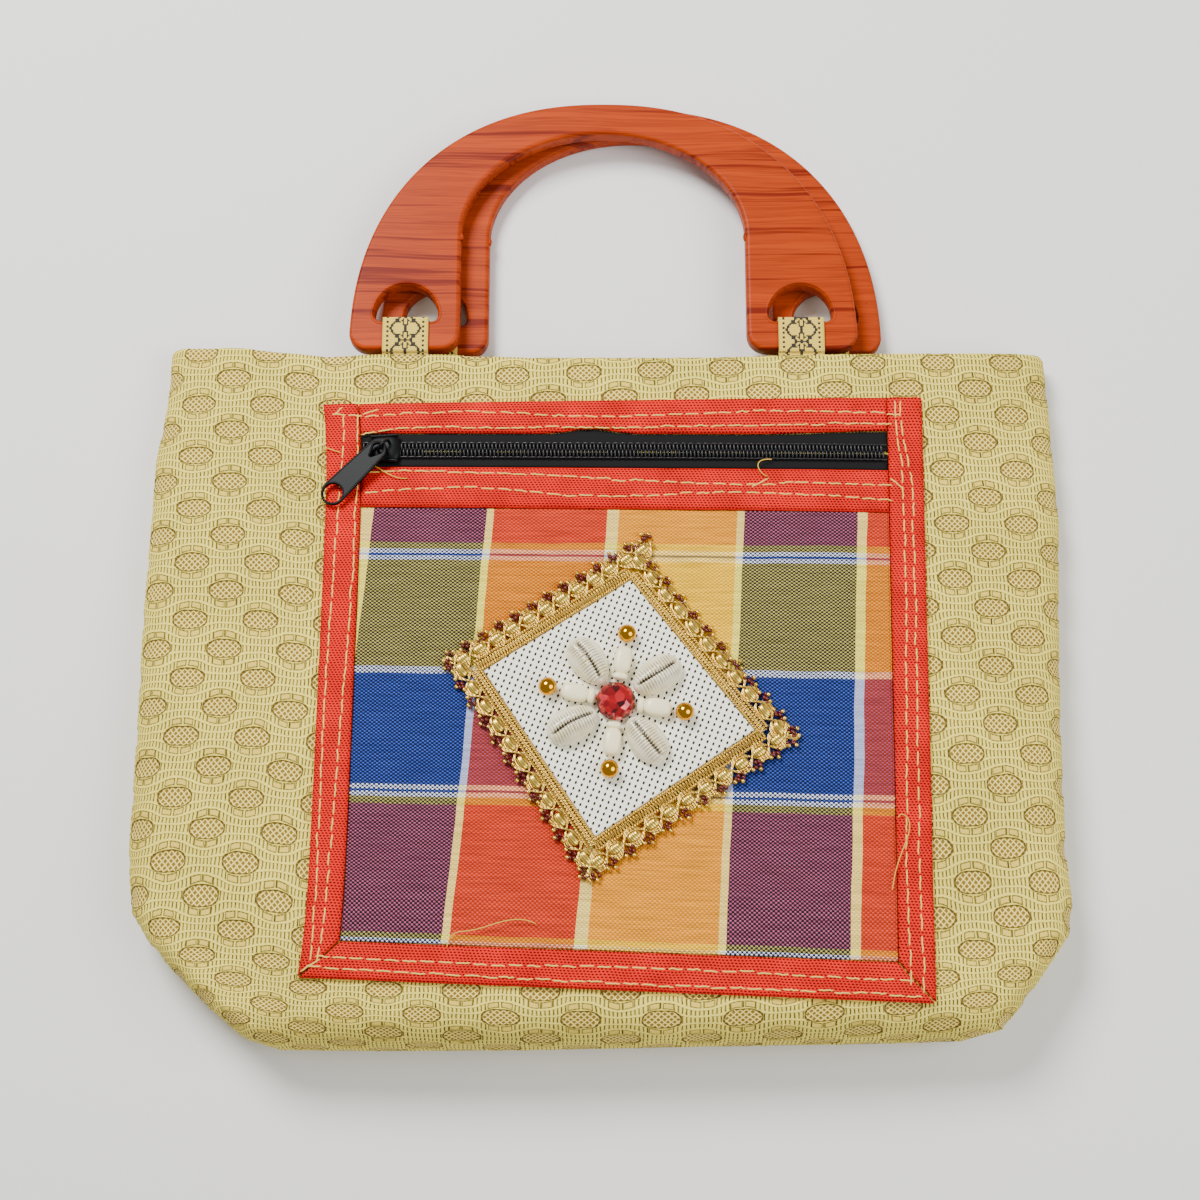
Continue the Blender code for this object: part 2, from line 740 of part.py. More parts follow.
def handle_outline():
    """The D plate from its foot: a squarish arch outside, legs and a round arch inside."""
    half, rise, n = HANDLE_WIDTH / 2, HANDLE_RISE, HANDLE_SQUARE
    inner, r = HANDLE_INNER / 2, HANDLE_CORNER
    arch_rise = HANDLE_RISE - HANDLE_ARCH - HANDLE_LEG
    start = math.asin((r / rise) ** (n / 2))
    outer = []
    steps = 26
    for i in range(steps + 1):
        turn = start + (math.pi - 2 * start) * i / steps
        c, s = math.cos(turn), math.sin(turn)
        outer.append((math.copysign(half * abs(c) ** (2 / n), c), rise * s ** (2 / n)))
    left_foot = arc((-half + r, r), (r, r), 180, 270, 4)[1:]
    left_inner = arc((-inner - r, r), (r, r), 270, 360, 4)
    arch = arc((0, HANDLE_LEG), (inner, arch_rise), 180, 0, 18)
    right_inner = arc((inner + r, r), (r, r), 180, 270, 4)
    right_foot = arc((half - r, r), (r, r), 270, 360, 4)[:-1]
    return outer + left_foot + left_inner + arch + right_inner + right_foot


def slot_outline(x):
    """A D-shaped hole: a flat bottom edge with round corners under a round top."""
    half, corner = SLOT_WIDTH / 2, SLOT_CORNER
    low = SLOT_BAR + corner
    points = arc((x, low), (half, SLOT_RISE - corner), 180, 0, 10)
    points += arc((x + half - corner, low), (corner, corner), 0, -90, 3)[1:]
    points += arc((x - half + corner, low), (corner, corner), 270, 180, 3)[:-1]
    return points


def handle_levels():
    """Heights of the two plates' undersides at the foot and at the top of the arch."""
    back_foot = RIBBON + GAP
    back_top = 0.0
    front_foot = back_foot + HANDLE_THICK + 2 * RIBBON + 3 * GAP
    front_top = back_top + HANDLE_THICK + GAP
    return (front_foot, front_top), (back_foot, back_top)


def plate_under(y, foot, levels):
    """Height of a plate's underside at y, on the straight line from foot to top."""
    return levels[0] + (levels[1] - levels[0]) * (y - foot) / HANDLE_RISE


def handles(group, wood):
    front, back = handle_levels()
    sets = (
        ("handle_front", 0.0, HANDLE_FOOT, front),
        ("handle_back", BACK_SHIFT, HANDLE_FOOT + BACK_LIFT, back),
    )
    outlines = [handle_outline(), slot_outline(-SLOT_X), slot_outline(SLOT_X)]
    for name, x, foot, (low, high) in sets:
        plate = flat_plate(name, outlines, HANDLE_THICK, HANDLE_EDGE, group, wood)
        tilt = math.asin((high - low) / HANDLE_RISE)
        raised = Matrix.Translation((0, 0, HANDLE_THICK / 2))
        turned = Matrix.Rotation(tilt, 4, "X")
        plate.matrix_world = Matrix.Translation((x, foot, low)) @ turned @ raised


# Ribbon loops


def rounded(points, radius, steps=3):
    """A path of straight runs whose corners are turned on short arcs."""
    points = [np.array(p, float) for p in points]
    made = [points[0]]
    for before, corner, after in zip(points, points[1:], points[2:]):
        back, on = before - corner, after - corner
        cut_back = min(radius, np.linalg.norm(back) / 2.2, np.linalg.norm(on) / 2.2)
        first = corner + back / np.linalg.norm(back) * cut_back
        last = corner + on / np.linalg.norm(on) * cut_back
        for i in range(steps + 1):
            t = i / steps
            made.append((1 - t) ** 2 * first + 2 * t * (1 - t) * corner + t * t * last)
    made.append(points[-1])
    return np.array(made)


def ribbon(name, x, path, group, finish):
    """A ribbon of even thickness along a path of (y, z), its width along X."""
    half = RIBBON_WIDTH / 2
    points = np.zeros((len(path), 2, 3))
    points[:, :, 1:] = path[:, None]
    points[:, 0, 0], points[:, 1, 0] = x - half, x + half
    made = sheet(name, points, RIBBON, 0, group, finish)
    made.modifiers["Wall"].use_even_offset = True


def front_loop_path(x):
    """Out of the mouth, over the bar, through the D hole, back under it and in again."""
    mouth = Y_MOUTH - mouth_fall(x)
    edges = np.array([x - RIBBON_WIDTH / 2, x + RIBBON_WIDTH / 2])
    levels, _ = handle_levels()
    half = RIBBON / 2

    def under_cloth(y, layer):
        ceiling = front_height(edges, y).min() - CLOTH - RIBBON_PLAY
        return ceiling - half - layer * (RIBBON + GAP)

    def run(y, above):
        low = plate_under(y, HANDLE_FOOT, levels)
        return low + HANDLE_THICK + GAP + half if above else low - GAP - half

    slot = HANDLE_FOOT - GAP - half
    through = HANDLE_FOOT + SLOT_BAR + SLOT_PLAY + half
    ends = [mouth - RIBBON_TAIL, mouth - RIBBON_TAIL / 2, mouth - 2 * RIBBON]
    points = [(y, under_cloth(y, 0)) for y in ends]
    points += [(slot, under_cloth(mouth, 0) + RIBBON), (slot, run(slot, True))]
    points += [(through, run(through, True)), (through, run(through, False))]
    points += [(slot, run(slot, False))]
    points += [(y, under_cloth(y, 1)) for y in (ends[2] - 4 * RIBBON, ends[1], ends[0])]
    return rounded(points, RIBBON_BEND)


def back_loop_path(x):
    """The same for the back handle, whose ribbon lies flat under the bar."""
    mouth = Y_MOUTH - mouth_fall(x)
    _, levels = handle_levels()
    foot = HANDLE_FOOT + BACK_LIFT
    half = RIBBON / 2
    on_cloth = CLOTH + GAP + half
    through = foot + SLOT_BAR + SLOT_PLAY + half
    over = [plate_under(y, foot, levels) + HANDLE_THICK + GAP + half for y in (through, foot)]
    points = [(mouth - RIBBON_TAIL, on_cloth), (mouth + RIBBON, on_cloth)]
    points += [(foot - RIBBON, half), (through, half)]
    points += [(through, over[0]), (foot - GAP - half, over[1])]
    second = on_cloth + RIBBON + GAP
    points += [(mouth - 6 * RIBBON, second), (mouth - RIBBON_TAIL, second)]
    return rounded(points, RIBBON_BEND)


def loops(group, jacquard):
    for side, x in (("left", -SLOT_X), ("right", SLOT_X)):
        ribbon(f"loop_front_{side}", x, front_loop_path(x), group, jacquard)
        back_x = x + BACK_SHIFT
        ribbon(f"loop_back_{side}", back_x, back_loop_path(back_x), group, jacquard)


def main():
    clear_scene()
    bag = new_collection("jute_handbag")
    cutters = new_collection("cutters")
    cutters.hide_render = True
    jute = material("jute", (0.72, 0.60, 0.27), 0.9)
    red = material("red_twill", (0.82, 0.07, 0.05), 0.85)
    plaid = material("plaid_cotton", (0.55, 0.28, 0.12), 0.9)
    tape = material("black_tape", (0.01, 0.01, 0.012), 0.85)
    nylon = material("nylon_coil", (0.015, 0.015, 0.017), 0.5)
    enamel = material("black_enamel", (0.008, 0.009, 0.01), 0.3)
    canvas = material("white_canvas", (0.92, 0.90, 0.82), 0.9)
    lace_gold = material("gold_lace", (0.66, 0.48, 0.16), 0.5, 0.4)
    ruby = material("ruby_acrylic", (0.45, 0.005, 0.01), 0.05)
    cowrie = material("cowrie_shell", (0.86, 0.82, 0.66), 0.3)
    ivory = material("ivory_bead", (0.88, 0.84, 0.68), 0.35)
    gold = material("gold_bead", (0.80, 0.52, 0.16), 0.2, 1.0)
    wood = material("wood_look_plastic", (0.52, 0.10, 0.04), 0.35)
    jacquard = material("ribbon_jacquard", (0.70, 0.58, 0.28), 0.8)
    bag_panels(bag, jute)
    pocket_pieces(bag, plaid, red)
    zip_tapes(bag, tape)
    zip_coil(bag, nylon)
    zip_slider(bag, cutters, enamel)
    zip_pull(bag, enamel)
    patch_pieces(bag, canvas, lace_gold)
    flower(bag, ruby, cowrie, ivory, gold)
    handles(bag, wood)
    loops(bag, jacquard)


main()
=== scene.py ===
"""The looks of a jute handbag that lies on its back: a boxed honeycomb-woven cloth body, a plaid
zip pocket framed in red twill tape, a perforated patch with gold lace and a shell flower, and two
D-shaped plate handles of wood-look plastic on ribbon loops.

Metres. +X runs across the bag, +Y from its base to its handles, +Z up out of its front.
"""

import math
from functools import partial

import bpy
import numpy as np
from bpy.props import FloatProperty, FloatVectorProperty, PointerProperty
from bpy.types import Operator, Panel, PropertyGroup
from mathutils import Matrix, Vector


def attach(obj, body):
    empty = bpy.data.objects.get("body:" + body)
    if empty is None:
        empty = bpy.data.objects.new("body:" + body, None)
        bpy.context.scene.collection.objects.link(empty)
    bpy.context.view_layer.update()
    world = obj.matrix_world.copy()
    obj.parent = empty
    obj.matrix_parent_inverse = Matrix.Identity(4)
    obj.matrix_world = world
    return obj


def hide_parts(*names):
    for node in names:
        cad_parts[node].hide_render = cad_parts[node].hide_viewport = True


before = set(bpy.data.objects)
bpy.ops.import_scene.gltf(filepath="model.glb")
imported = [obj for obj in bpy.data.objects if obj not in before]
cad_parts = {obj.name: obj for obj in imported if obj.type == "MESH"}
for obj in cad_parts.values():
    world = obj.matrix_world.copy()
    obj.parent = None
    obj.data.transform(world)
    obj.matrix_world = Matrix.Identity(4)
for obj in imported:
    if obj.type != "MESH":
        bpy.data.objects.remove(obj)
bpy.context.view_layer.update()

bl_info = {
    "name": "Jute handbag",
    "version": (1, 0, 0),
    "blender": (4, 5, 0),
    "location": "3D View > Sidebar > Handbag",
    "description": "Dresses a jute handbag's solids with its cloths, trims, zip and handles",
    "category": "Object",
}

MM = 0.001
GAP = 0.3 * MM
BAG = "bag"
PULL = "zip_pull"

# The cloth body, in the same sizes as its solids

BAG_WIDTH = 0.3055
BAG_HEIGHT = 0.2335
BASE_DEPTH = 0.036
MOUTH_DEPTH = 0.018
CLOTH = 0.0022
SIDE_ROLL = 0.010
BASE_ROLL = 0.014
SEAM_BAND = 0.0015
SEAM_SHARE = 0.36
SIDE_SLOPE = 0.30
HALF_WIDTH = BAG_WIDTH / 2

# The sides from base to mouth, as shares of the bag's height and of half its width
SIDES = np.array((
    # height, left side, right side
    (0.000, 0.665, 0.735),
    (0.014, 0.738, 0.820),
    (0.050, 0.805, 0.868),
    (0.095, 0.880, 0.920),
    (0.140, 0.944, 0.970),
    (0.180, 0.984, 0.980),
    (0.255, 0.999, 0.972),
    (0.450, 0.997, 0.978),
    (0.600, 0.998, 0.988),
    (0.740, 0.992, 1.000),
    (0.830, 0.990, 0.995),
    (0.915, 0.971, 0.991),
    (1.000, 0.967, 0.985),
)).T
# The base and mouth lines across the bag, as shares of half its width and of its height
ENDS = np.array((
    # across, base lift, mouth drop
    (-1.00, 0.004, 0.000),
    (-0.80, 0.003, 0.005),
    (-0.62, 0.001, 0.020),
    (-0.45, 0.000, 0.016),
    (-0.17, 0.001, 0.023),
    (0.22, 0.006, 0.023),
    (0.53, 0.009, 0.017),
    (0.80, 0.014, 0.013),
    (1.00, 0.020, 0.010),
)).T
# How full the bag stands, from the mouth's depth at 0 to the base's at 1
FULLNESS = np.array((
    # height, share
    (0.00, 1.00),
    (0.15, 0.93),
    (0.35, 0.72),
    (0.60, 0.43),
    (0.85, 0.15),
    (1.00, 0.00),
)).T
# Soft hollows of the front, as shares of half the width, the height and the base's depth
DENTS = (
    # across, height, reach, depth
    (-0.80, 0.55, 0.22, 0.050),
    (0.86, 0.60, 0.20, 0.045),
    (-0.78, 0.90, 0.18, 0.030),
    (0.74, 0.20, 0.17, 0.055),
    (-0.70, 0.16, 0.15, 0.050),
    (0.10, 0.30, 0.35, 0.025),
)

# The pocket and its tapes

POCKET_WIDTH = 0.198
POCKET_HEIGHT = 0.191
POCKET_DROP = 0.0216
# The lower tape is deeper than the solid's, by this much
LOWER_TAPE_DROP = 0.0024
POCKET_SHIFT = 0.00515
POCKET_CLOTH = 0.0010
BINDING = 0.0017
SIDE_TAPE = 0.0115
TOP_TAPE = 0.0105
MIDDLE_TAPE = 0.0142
BASE_TAPE = 0.0114
ZIP_WINDOW = 0.0123
POCKET_BOW = 0.0024
BOW_FLATNESS = 6
ZIP_SAG = 0.0026
# How far each corner of the pocket strays from square, as shares of its half sizes
POCKET_CORNERS = (
    # side, end, across, along
    (-1, 1, 0.002, -0.014),
    (1, 1, 0.024, 0.014),
    (1, -1, -0.024, -0.041),
    (-1, -1, -0.002, 0.041),
)

# The zip

ZIP_TAPE = 0.0006
ZIP_SLOT = 0.0012
COIL_HEIGHT = 0.0016
SLIDER_LENGTH = 0.0110
SLIDER_PLATE = 0.0010
SLIDER_FROM_TAPE = 0.0080
PULL_LENGTH = 0.0271
PULL_WIDTH = 0.0082
PULL_THICK = 0.0016
PULL_BAR = 0.0013
PULL_PLAY = 0.0013
PULL_HOLE = 0.0065
PULL_TURN = 225.0

# The patch, its lace and its flower

PATCH_SIDE = 0.0615
PATCH_CLOTH = 0.0008
PATCH_TURN = 34.5
PATCH_SHIFT = -0.0024
PATCH_LIFT = 0.0045
# The lace's middle line, out from the patch's edge
LACE_MIDDLE = 0.0061
# How far each corner of the patch strays from square, as shares of half its side
PATCH_CORNERS = (
    # side, end, across, along
    (1, 1, -0.110, 0.010),
    (1, -1, 0.025, -0.055),
    (-1, -1, 0.033, -0.033),
    (-1, 1, 0.055, 0.072),
)
GEM_WIDTH = 0.0127
GEM_HEIGHT = 0.0046
SHELL_LENGTH = 0.0174
SHELL_WIDTH = 0.0114
SHELL_HEIGHT = 0.0058
SHELL_REACH = 0.0157
RICE_LENGTH = 0.0090
RICE_WIDTH = 0.0043
RICE_ACROSS = 0.0057
RICE_REACH = 0.0134
COLLAR_SIZE = (0.0024, 0.0049, 0.0038)
COLLAR_REACH = RICE_REACH - RICE_LENGTH / 2 - 0.0009
BALL_WIDTH = 0.0055
BALL_REACH = 0.0221
# The flower's shells and bead rays, each by its own direction from the gem
PETALS = (
    # name, shell direction, ray direction
    ("1", 32.4, -9.5),
    ("2", 123.7, 80.5),
    ("3", 208.6, 168.5),
    ("4", 307.7, 264.5),
)

# The camera and the light

CAMERA_TARGET = (-0.00115, -0.0197, 0.026)
CAMERA_DISTANCE = 0.62
CAMERA_RISE = 78
CAMERA_LENS = 57.39
WORLD_LIGHT = 0.38
FLOOR_HALF = 2.0
FLOOR_DROP = 0.0005
LAMPS = (
    # name, place, size, share of the power
    ("key", (-0.45, 0.60, 0.95), 0.50, 1.0),
    ("fill", (0.75, -0.20, 0.9), 0.9, 0.45),
)

# The handles

HANDLE_WIDTH = 0.1732
HANDLE_RISE = 0.0916
HANDLE_INNER = 0.0978
HANDLE_LEG = 0.0416
HANDLE_ARCH = 0.0117
HANDLE_THICK = 0.0065
HANDLE_EDGE = 0.0014
HANDLE_CORNER = 0.0065
HANDLE_SQUARE = 2.25
HANDLE_SEAT = 0.0018
SLOT_WIDTH = 0.0215
SLOT_RISE = 0.0130
SLOT_BAR = 0.0104
SLOT_CORNER = 0.0022
SLOT_SPREAD = 0.1344
BACK_SHIFT = 0.0093
BACK_LIFT = 0.0015

# The ribbon loops

RIBBON = 0.0006
RIBBON_WIDTH = 0.0155
RIBBON_TAIL = 0.020
RIBBON_BEND = 0.0005
BEND_STEPS = 5
RIBBON_PLAY = 0.0005
SLOT_PLAY = 0.0006

# Heights of the layers above the bag's front

TAPE_LIFT = GAP
TAPE_TOP = GAP + BINDING
COIL_LIFT = TAPE_LIFT + ZIP_TAPE + GAP
PATCH_BASE = GAP + POCKET_CLOTH + GAP
BEAD_LIFT = PATCH_BASE + PATCH_CLOTH + 1.5 * GAP
SLIDER_HEIGHT = COIL_HEIGHT + GAP + SLIDER_PLATE
PIVOT_HEIGHT = PULL_THICK / 2 + PULL_PLAY
SLOPE_STEP = 0.004


def mouth_fall(x):
    """How far the mouth's line lies below the bag's full height."""
    return BAG_HEIGHT * np.interp(x / HALF_WIDTH, ENDS[0], ENDS[2])


SLOT_X = SLOT_SPREAD / 2
HANDLE_FROM_MOUTH = HANDLE_SEAT - min(mouth_fall(SLOT_X), mouth_fall(-SLOT_X))
Y_BASE = -(BAG_HEIGHT + HANDLE_FROM_MOUTH + BACK_LIFT + HANDLE_RISE) / 2
Y_MOUTH = Y_BASE + BAG_HEIGHT
HANDLE_FOOT = Y_MOUTH + HANDLE_FROM_MOUTH
POCKET_Y = Y_MOUTH - POCKET_DROP - POCKET_HEIGHT / 2
ZIP_TOP = POCKET_HEIGHT / 2 - TOP_TAPE
ZIP_BOTTOM = ZIP_TOP - ZIP_WINDOW
PLAID_TOP = ZIP_BOTTOM - MIDDLE_TAPE
PLAID_BOTTOM = -POCKET_HEIGHT / 2 + BASE_TAPE
INNER_X = POCKET_WIDTH / 2 - SIDE_TAPE
ZIP_LINE = (ZIP_TOP + ZIP_BOTTOM) / 2


# Shape of the front, as the solids have it


def full_share(y):
    """How full the bag stands, from 1 at the base to 0 at the mouth."""
    return np.interp((np.asarray(y, float) - Y_BASE) / BAG_HEIGHT, FULLNESS[0], FULLNESS[1])


def front_height(x, y):
    """Depth of the bag, falling with the fourth power towards the sides, less soft hollows."""
    x, y = np.asarray(x, float), np.asarray(y, float)
    share = (y - Y_BASE) / BAG_HEIGHT
    across = x / HALF_WIDTH
    depth = MOUTH_DEPTH + (BASE_DEPTH - MOUTH_DEPTH) * full_share(y)
    z = depth * (1 - SIDE_SLOPE * across**4)
    for dent_x, dent_y, reach, depth_share in DENTS:
        far = ((across - dent_x) ** 2 + (share - dent_y) ** 2) / reach**2
        z = z - BASE_DEPTH * depth_share * np.exp(-2 * far) * (1 - share**6)
    return z


def seam_height(y):
    """Height of the side seam, a share of the bag's depth."""
    return SEAM_SHARE * (MOUTH_DEPTH + (BASE_DEPTH - MOUTH_DEPTH) * full_share(y))


def on_front(x, y, lift):
    """Points a given height above the front cloth."""
    x, y = np.asarray(x, float), np.asarray(y, float)
    return np.stack([x, y, front_height(x, y) + lift], axis=-1)


def seat_matrix(x, y, lift, turn):
    """A frame on the front: its Z along the surface's normal, its X turned in the surface."""
    step = SLOPE_STEP
    slope_x = (front_height(x + step, y) - front_height(x - step, y)) / (2 * step)
    slope_y = (front_height(x, y + step) - front_height(x, y - step)) / (2 * step)
    normal = Vector((-slope_x, -slope_y, 1)).normalized()
    place = Vector((x, y, float(front_height(x, y)))) + normal * lift
    tilt = Vector((0, 0, 1)).rotation_difference(normal).to_matrix().to_4x4()
    return Matrix.Translation(place) @ tilt @ Matrix.Rotation(math.radians(turn), 4, "Z")


def strayed(p, q, half_x, half_y, corners):
    """Bilinear shift of a point of a square whose corners stray from their places."""
    across, along = p / half_x, q / half_y
    shift_x, shift_y = 0, 0
    for side, end, stray_x, stray_y in corners:
        weight = (1 + side * across) * (1 + end * along) / 4
        shift_x = shift_x + weight * stray_x * half_x
        shift_y = shift_y + weight * stray_y * half_y
    return shift_x, shift_y


def pocket_xy(p, q):
    """World x and y of a point of the pocket: its corners stray, its left edge bows in, and
    its zip sags towards the right."""
    half_x, half_y = POCKET_WIDTH / 2, POCKET_HEIGHT / 2
    shift_x, shift_y = strayed(p, q, half_x, half_y, POCKET_CORNERS)
    bow = POCKET_BOW * (1 - p / half_x) / 2 * (1 - (q / half_y) ** BOW_FLATNESS)
    near_zip = np.interp(q, (0, PLAID_TOP, ZIP_TOP, half_y), (0, 1, 1, 0))
    sag = ZIP_SAG * (1 + p / half_x) / 2 * near_zip
    sag = sag + LOWER_TAPE_DROP * (1 - smooth_step(-88 * MM, -66 * MM, q))
    return POCKET_SHIFT + p + shift_x + bow, POCKET_Y + q + shift_y - sag


def on_pocket(p, q, lift):
    """Points a given height above the front cloth, placed in the pocket's own square."""
    p, q = np.broadcast_arrays(np.asarray(p, float), np.asarray(q, float))
    x, y = pocket_xy(p, q)
    return on_front(x, y, lift)


def patch_centre():
    """World x and y of the patch's middle."""
    plaid_middle = (PLAID_TOP + PLAID_BOTTOM) / 2
    x, y = pocket_xy(PATCH_SHIFT, plaid_middle + PATCH_LIFT)
    return float(x), float(y)


def patch_xy(a, b):
    """World x and y of a point of the patch, given from its centre along its sides."""
    half = PATCH_SIDE / 2
    shift_a, shift_b = strayed(a, b, half, half, PATCH_CORNERS)
    a, b = a + shift_a, b + shift_b
    turn = math.radians(PATCH_TURN)
    x, y = patch_centre()
    cos, sin = math.cos(turn), math.sin(turn)
    return x + a * cos - b * sin, y + a * sin + b * cos


# Meshes from arrays


def smooth_step(low, high, value):
    """0 below low, 1 above high, and a cubic between them."""
    t = np.clip((value - low) / (high - low), 0, 1)
    return t * t * (3 - 2 * t)


def grid_faces(rows, cols, round_rows=False):
    """Corners of the quads of a grid of points. Seen from the outer side, columns run right and
    rows run up. With round_rows the last row joins the first."""
    r = np.arange(rows if round_rows else rows - 1)
    r, c = (a.ravel() for a in np.meshgrid(r, np.arange(cols - 1), indexing="ij"))
    up = (r + 1) % rows
    return np.stack([r * cols + c, r * cols + c + 1, up * cols + c + 1, up * cols + c], axis=-1)


def rim_of(rows, cols):
    """The numbers of a grid's outer points, once round, from its first corner along a row."""
    low = np.arange(cols - 1)
    right = np.arange(rows - 1) * cols + cols - 1
    high = (rows - 1) * cols + np.arange(cols - 1, 0, -1)
    left = np.arange(rows - 1, 0, -1) * cols
    return np.concatenate([low, right, high, left])


def normals_of(points):
    """Unit normals of a grid of points, from the cross product of its two directions."""
    normal = np.cross(np.gradient(points, axis=1), np.gradient(points, axis=0))
    return normal / np.maximum(np.linalg.norm(normal, axis=2, keepdims=True), 1e-12)


def joined(parts):
    """One set of points and faces from several, each a pair of points and face arrays."""
    points, faces, start = [], [], 0
    for part_points, part_faces in parts:
        points.append(part_points.reshape(-1, 3))
        faces += [f + start for f in part_faces]
        start += len(points[-1])
    return np.concatenate(points), faces


def placed(name, mesh, finish_made, slot, stands_for, body):
    """An object at the origin from a mesh, with its material and body. Its slot is not used."""
    mesh.materials.clear()
    mesh.materials.append(finish_made)
    made = bpy.data.objects.new(name, mesh)
    bpy.context.scene.collection.objects.link(made)
    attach(made, body)
    if stands_for:
        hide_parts(stands_for)
    return made


def piece(name, part, finish_made, slot, stands_for=None, body=BAG, smooth=True):
    """A piece from points, arrays of faces and, on cloth, each point's place on the cloth in
    metres. stands_for is the solid that it replaces."""
    points, faces, *uv = part
    mesh = bpy.data.meshes.new(name)
    points = np.ascontiguousarray(points.reshape(-1, 3), np.float32)
    corners = np.concatenate([f.ravel() for f in faces]).astype(np.int32)
    sizes = np.concatenate([np.full(len(f), f.shape[1]) for f in faces])
    starts = np.concatenate([[0], np.cumsum(sizes)[:-1]]).astype(np.int32)
    mesh.vertices.add(len(points))
    mesh.vertices.foreach_set("co", points.ravel())
    mesh.loops.add(len(corners))
    mesh.loops.foreach_set("vertex_index", corners)
    mesh.polygons.add(len(sizes))
    mesh.polygons.foreach_set("loop_start", starts)
    mesh.update(calc_edges=True)
    if uv:
        spread = np.ascontiguousarray(uv[0].reshape(-1, 2)[corners], np.float32)
        mesh.uv_layers.new(name="UVMap").data.foreach_set("uv", spread.ravel())
    mesh.validate()
    if smooth:
        mesh.shade_smooth()
    else:
        mesh.shade_flat()
    return placed(name, mesh, finish_made, slot, stands_for, body)


def wall(outer, inner, uv, every=1):
    """A cloth wall: a fine outer grid, an inner grid of every few points, a rim between them,
    and the place on the cloth of each point."""
    rows, cols = outer.shape[:2]
    few = inner[::every, ::every]
    start = rows * cols
    fine, coarse = rim_of(rows, cols), rim_of(*few.shape[:2]) + start
    count = len(coarse)
    steps = np.arange(count)[:, None] * every + np.arange(every, -1, -1)
    rim = [fine[steps % len(fine)], coarse[:, None], np.roll(coarse, -1)[:, None]]
    inside = grid_faces(*few.shape[:2])[:, ::-1] + start
    points = np.concatenate([outer.reshape(-1, 3), few.reshape(-1, 3)])
    place = np.concatenate([uv.reshape(-1, 2), uv[::every, ::every].reshape(-1, 2)])
    return points, [grid_faces(rows, cols), inside, np.concatenate(rim, axis=1)], place


def tubes(paths, radius, sides=6, flat=1.0, ring=False):
    """Round profiles carried along many paths at once, with each profile's side square to the
    path and level, its height flat times its width, and flat ends unless the path is a ring."""
    paths = np.asarray(paths, float)
    if paths.ndim == 2:
        paths = paths[None]
    count, length = paths.shape[:2]
    if ring:
        ahead = np.roll(paths, -1, axis=1) - np.roll(paths, 1, axis=1)
    else:
        ahead = np.gradient(paths, axis=1)
    side = np.cross(ahead, (0, 0, 1.0))
    side /= np.maximum(np.linalg.norm(side, axis=2, keepdims=True), 1e-12)
    up = np.cross(side, ahead)
    up /= np.maximum(np.linalg.norm(up, axis=2, keepdims=True), 1e-12)
    turn = np.linspace(0, math.tau, sides, endpoint=False)[None, :, None, None]
    width = np.broadcast_to(np.asarray(radius, float), (count, length))[:, None, :, None]
    offset = width * (np.cos(turn) * side[:, None] + flat * np.sin(turn) * up[:, None])
    points = paths[:, None] + offset
    # A ring's last column of faces ends on its first column of points
    row, column = np.divmod(grid_faces(sides, length + ring, True), length + ring)
    quads = row * length + column % length
    block = sides * length
    starts = np.arange(count)[:, None, None] * block
    faces = [(quads[None] + starts).reshape(-1, 4)]
    if not ring:
        first = np.arange(sides) * length
        caps = np.stack([first, (first + length - 1)[::-1]])
        faces.append((caps[None] + starts).reshape(-1, sides))
    return points, faces


def turned(radii, heights, sides, low, high):
    """A turned shape: a ring of each radius at its height, closed by a point at both ends."""
    turn = np.linspace(0, math.tau, sides, endpoint=False)
    rings = np.stack(
        [np.outer(radii, np.cos(turn)), np.outer(radii, np.sin(turn)),
         np.repeat(np.asarray(heights)[:, None], sides, axis=1)],
        axis=-1,
    )
    count = len(radii) * sides
    points = np.concatenate([rings.reshape(-1, 3), [(0, 0, low), (0, 0, high)]])
    around = np.arange(sides)
    beside = (around + 1) % sides
    r = np.arange(len(radii) - 1)[:, None] * sides
    quads = np.stack([r + around, r + beside, r + sides + beside, r + sides + around], axis=-1)
    under = np.stack([np.full(sides, count), beside, around], axis=-1)
    top = count - sides
    over = np.stack([np.full(sides, count + 1), top + around, top + beside], axis=-1)
    return points, [quads.reshape(-1, 4), under, over]


def rounded_ball(size, sides=20, rings=12, power=2.0):
    """A ball stretched to a size, or with a power over 2 a soft box: each level's radius and
    height follow a circle raised to 2 / power."""
    turn = np.linspace(-math.pi / 2, math.pi / 2, rings + 1)[1:-1]
    radii = np.abs(np.cos(turn)) ** (2 / power)
    heights = np.sign(np.sin(turn)) * np.abs(np.sin(turn)) ** (2 / power)
    points, faces = turned(radii, heights, sides, -1, 1)
    if power != 2.0:
        angle = np.arctan2(points[:, 1], points[:, 0])
        reach = np.hypot(points[:, 0], points[:, 1])
        cos, sin = np.cos(angle), np.sin(angle)
        points[:, 0] = reach * np.sign(cos) * np.abs(cos) ** (2 / power)
        points[:, 1] = reach * np.sign(sin) * np.abs(sin) ** (2 / power)
    return points * (np.asarray(size) / 2), faces


def moved(part, matrix):
    """A part's points through a 4 by 4 matrix."""
    points, faces = part
    turn = np.array(matrix)
    return points.reshape(-1, 3) @ turn[:3, :3].T + turn[:3, 3], faces


def copies(part, centres, turns=None):
    """The same part at many places, each with its own three axes as the rows of its turn."""
    points, faces = part
    points = points.reshape(-1, 3)
    centres = np.asarray(centres).reshape(-1, 3)
    if turns is None:
        placed = points[None] + centres[:, None]
    else:
        placed = np.einsum("nk,mkj->mnj", points, turns) + centres[:, None]
    starts = np.arange(len(centres))[:, None, None] * len(points)
    return placed.reshape(-1, 3), [(f[None] + starts).reshape(-1, f.shape[1]) for f in faces]


# The body's cloth

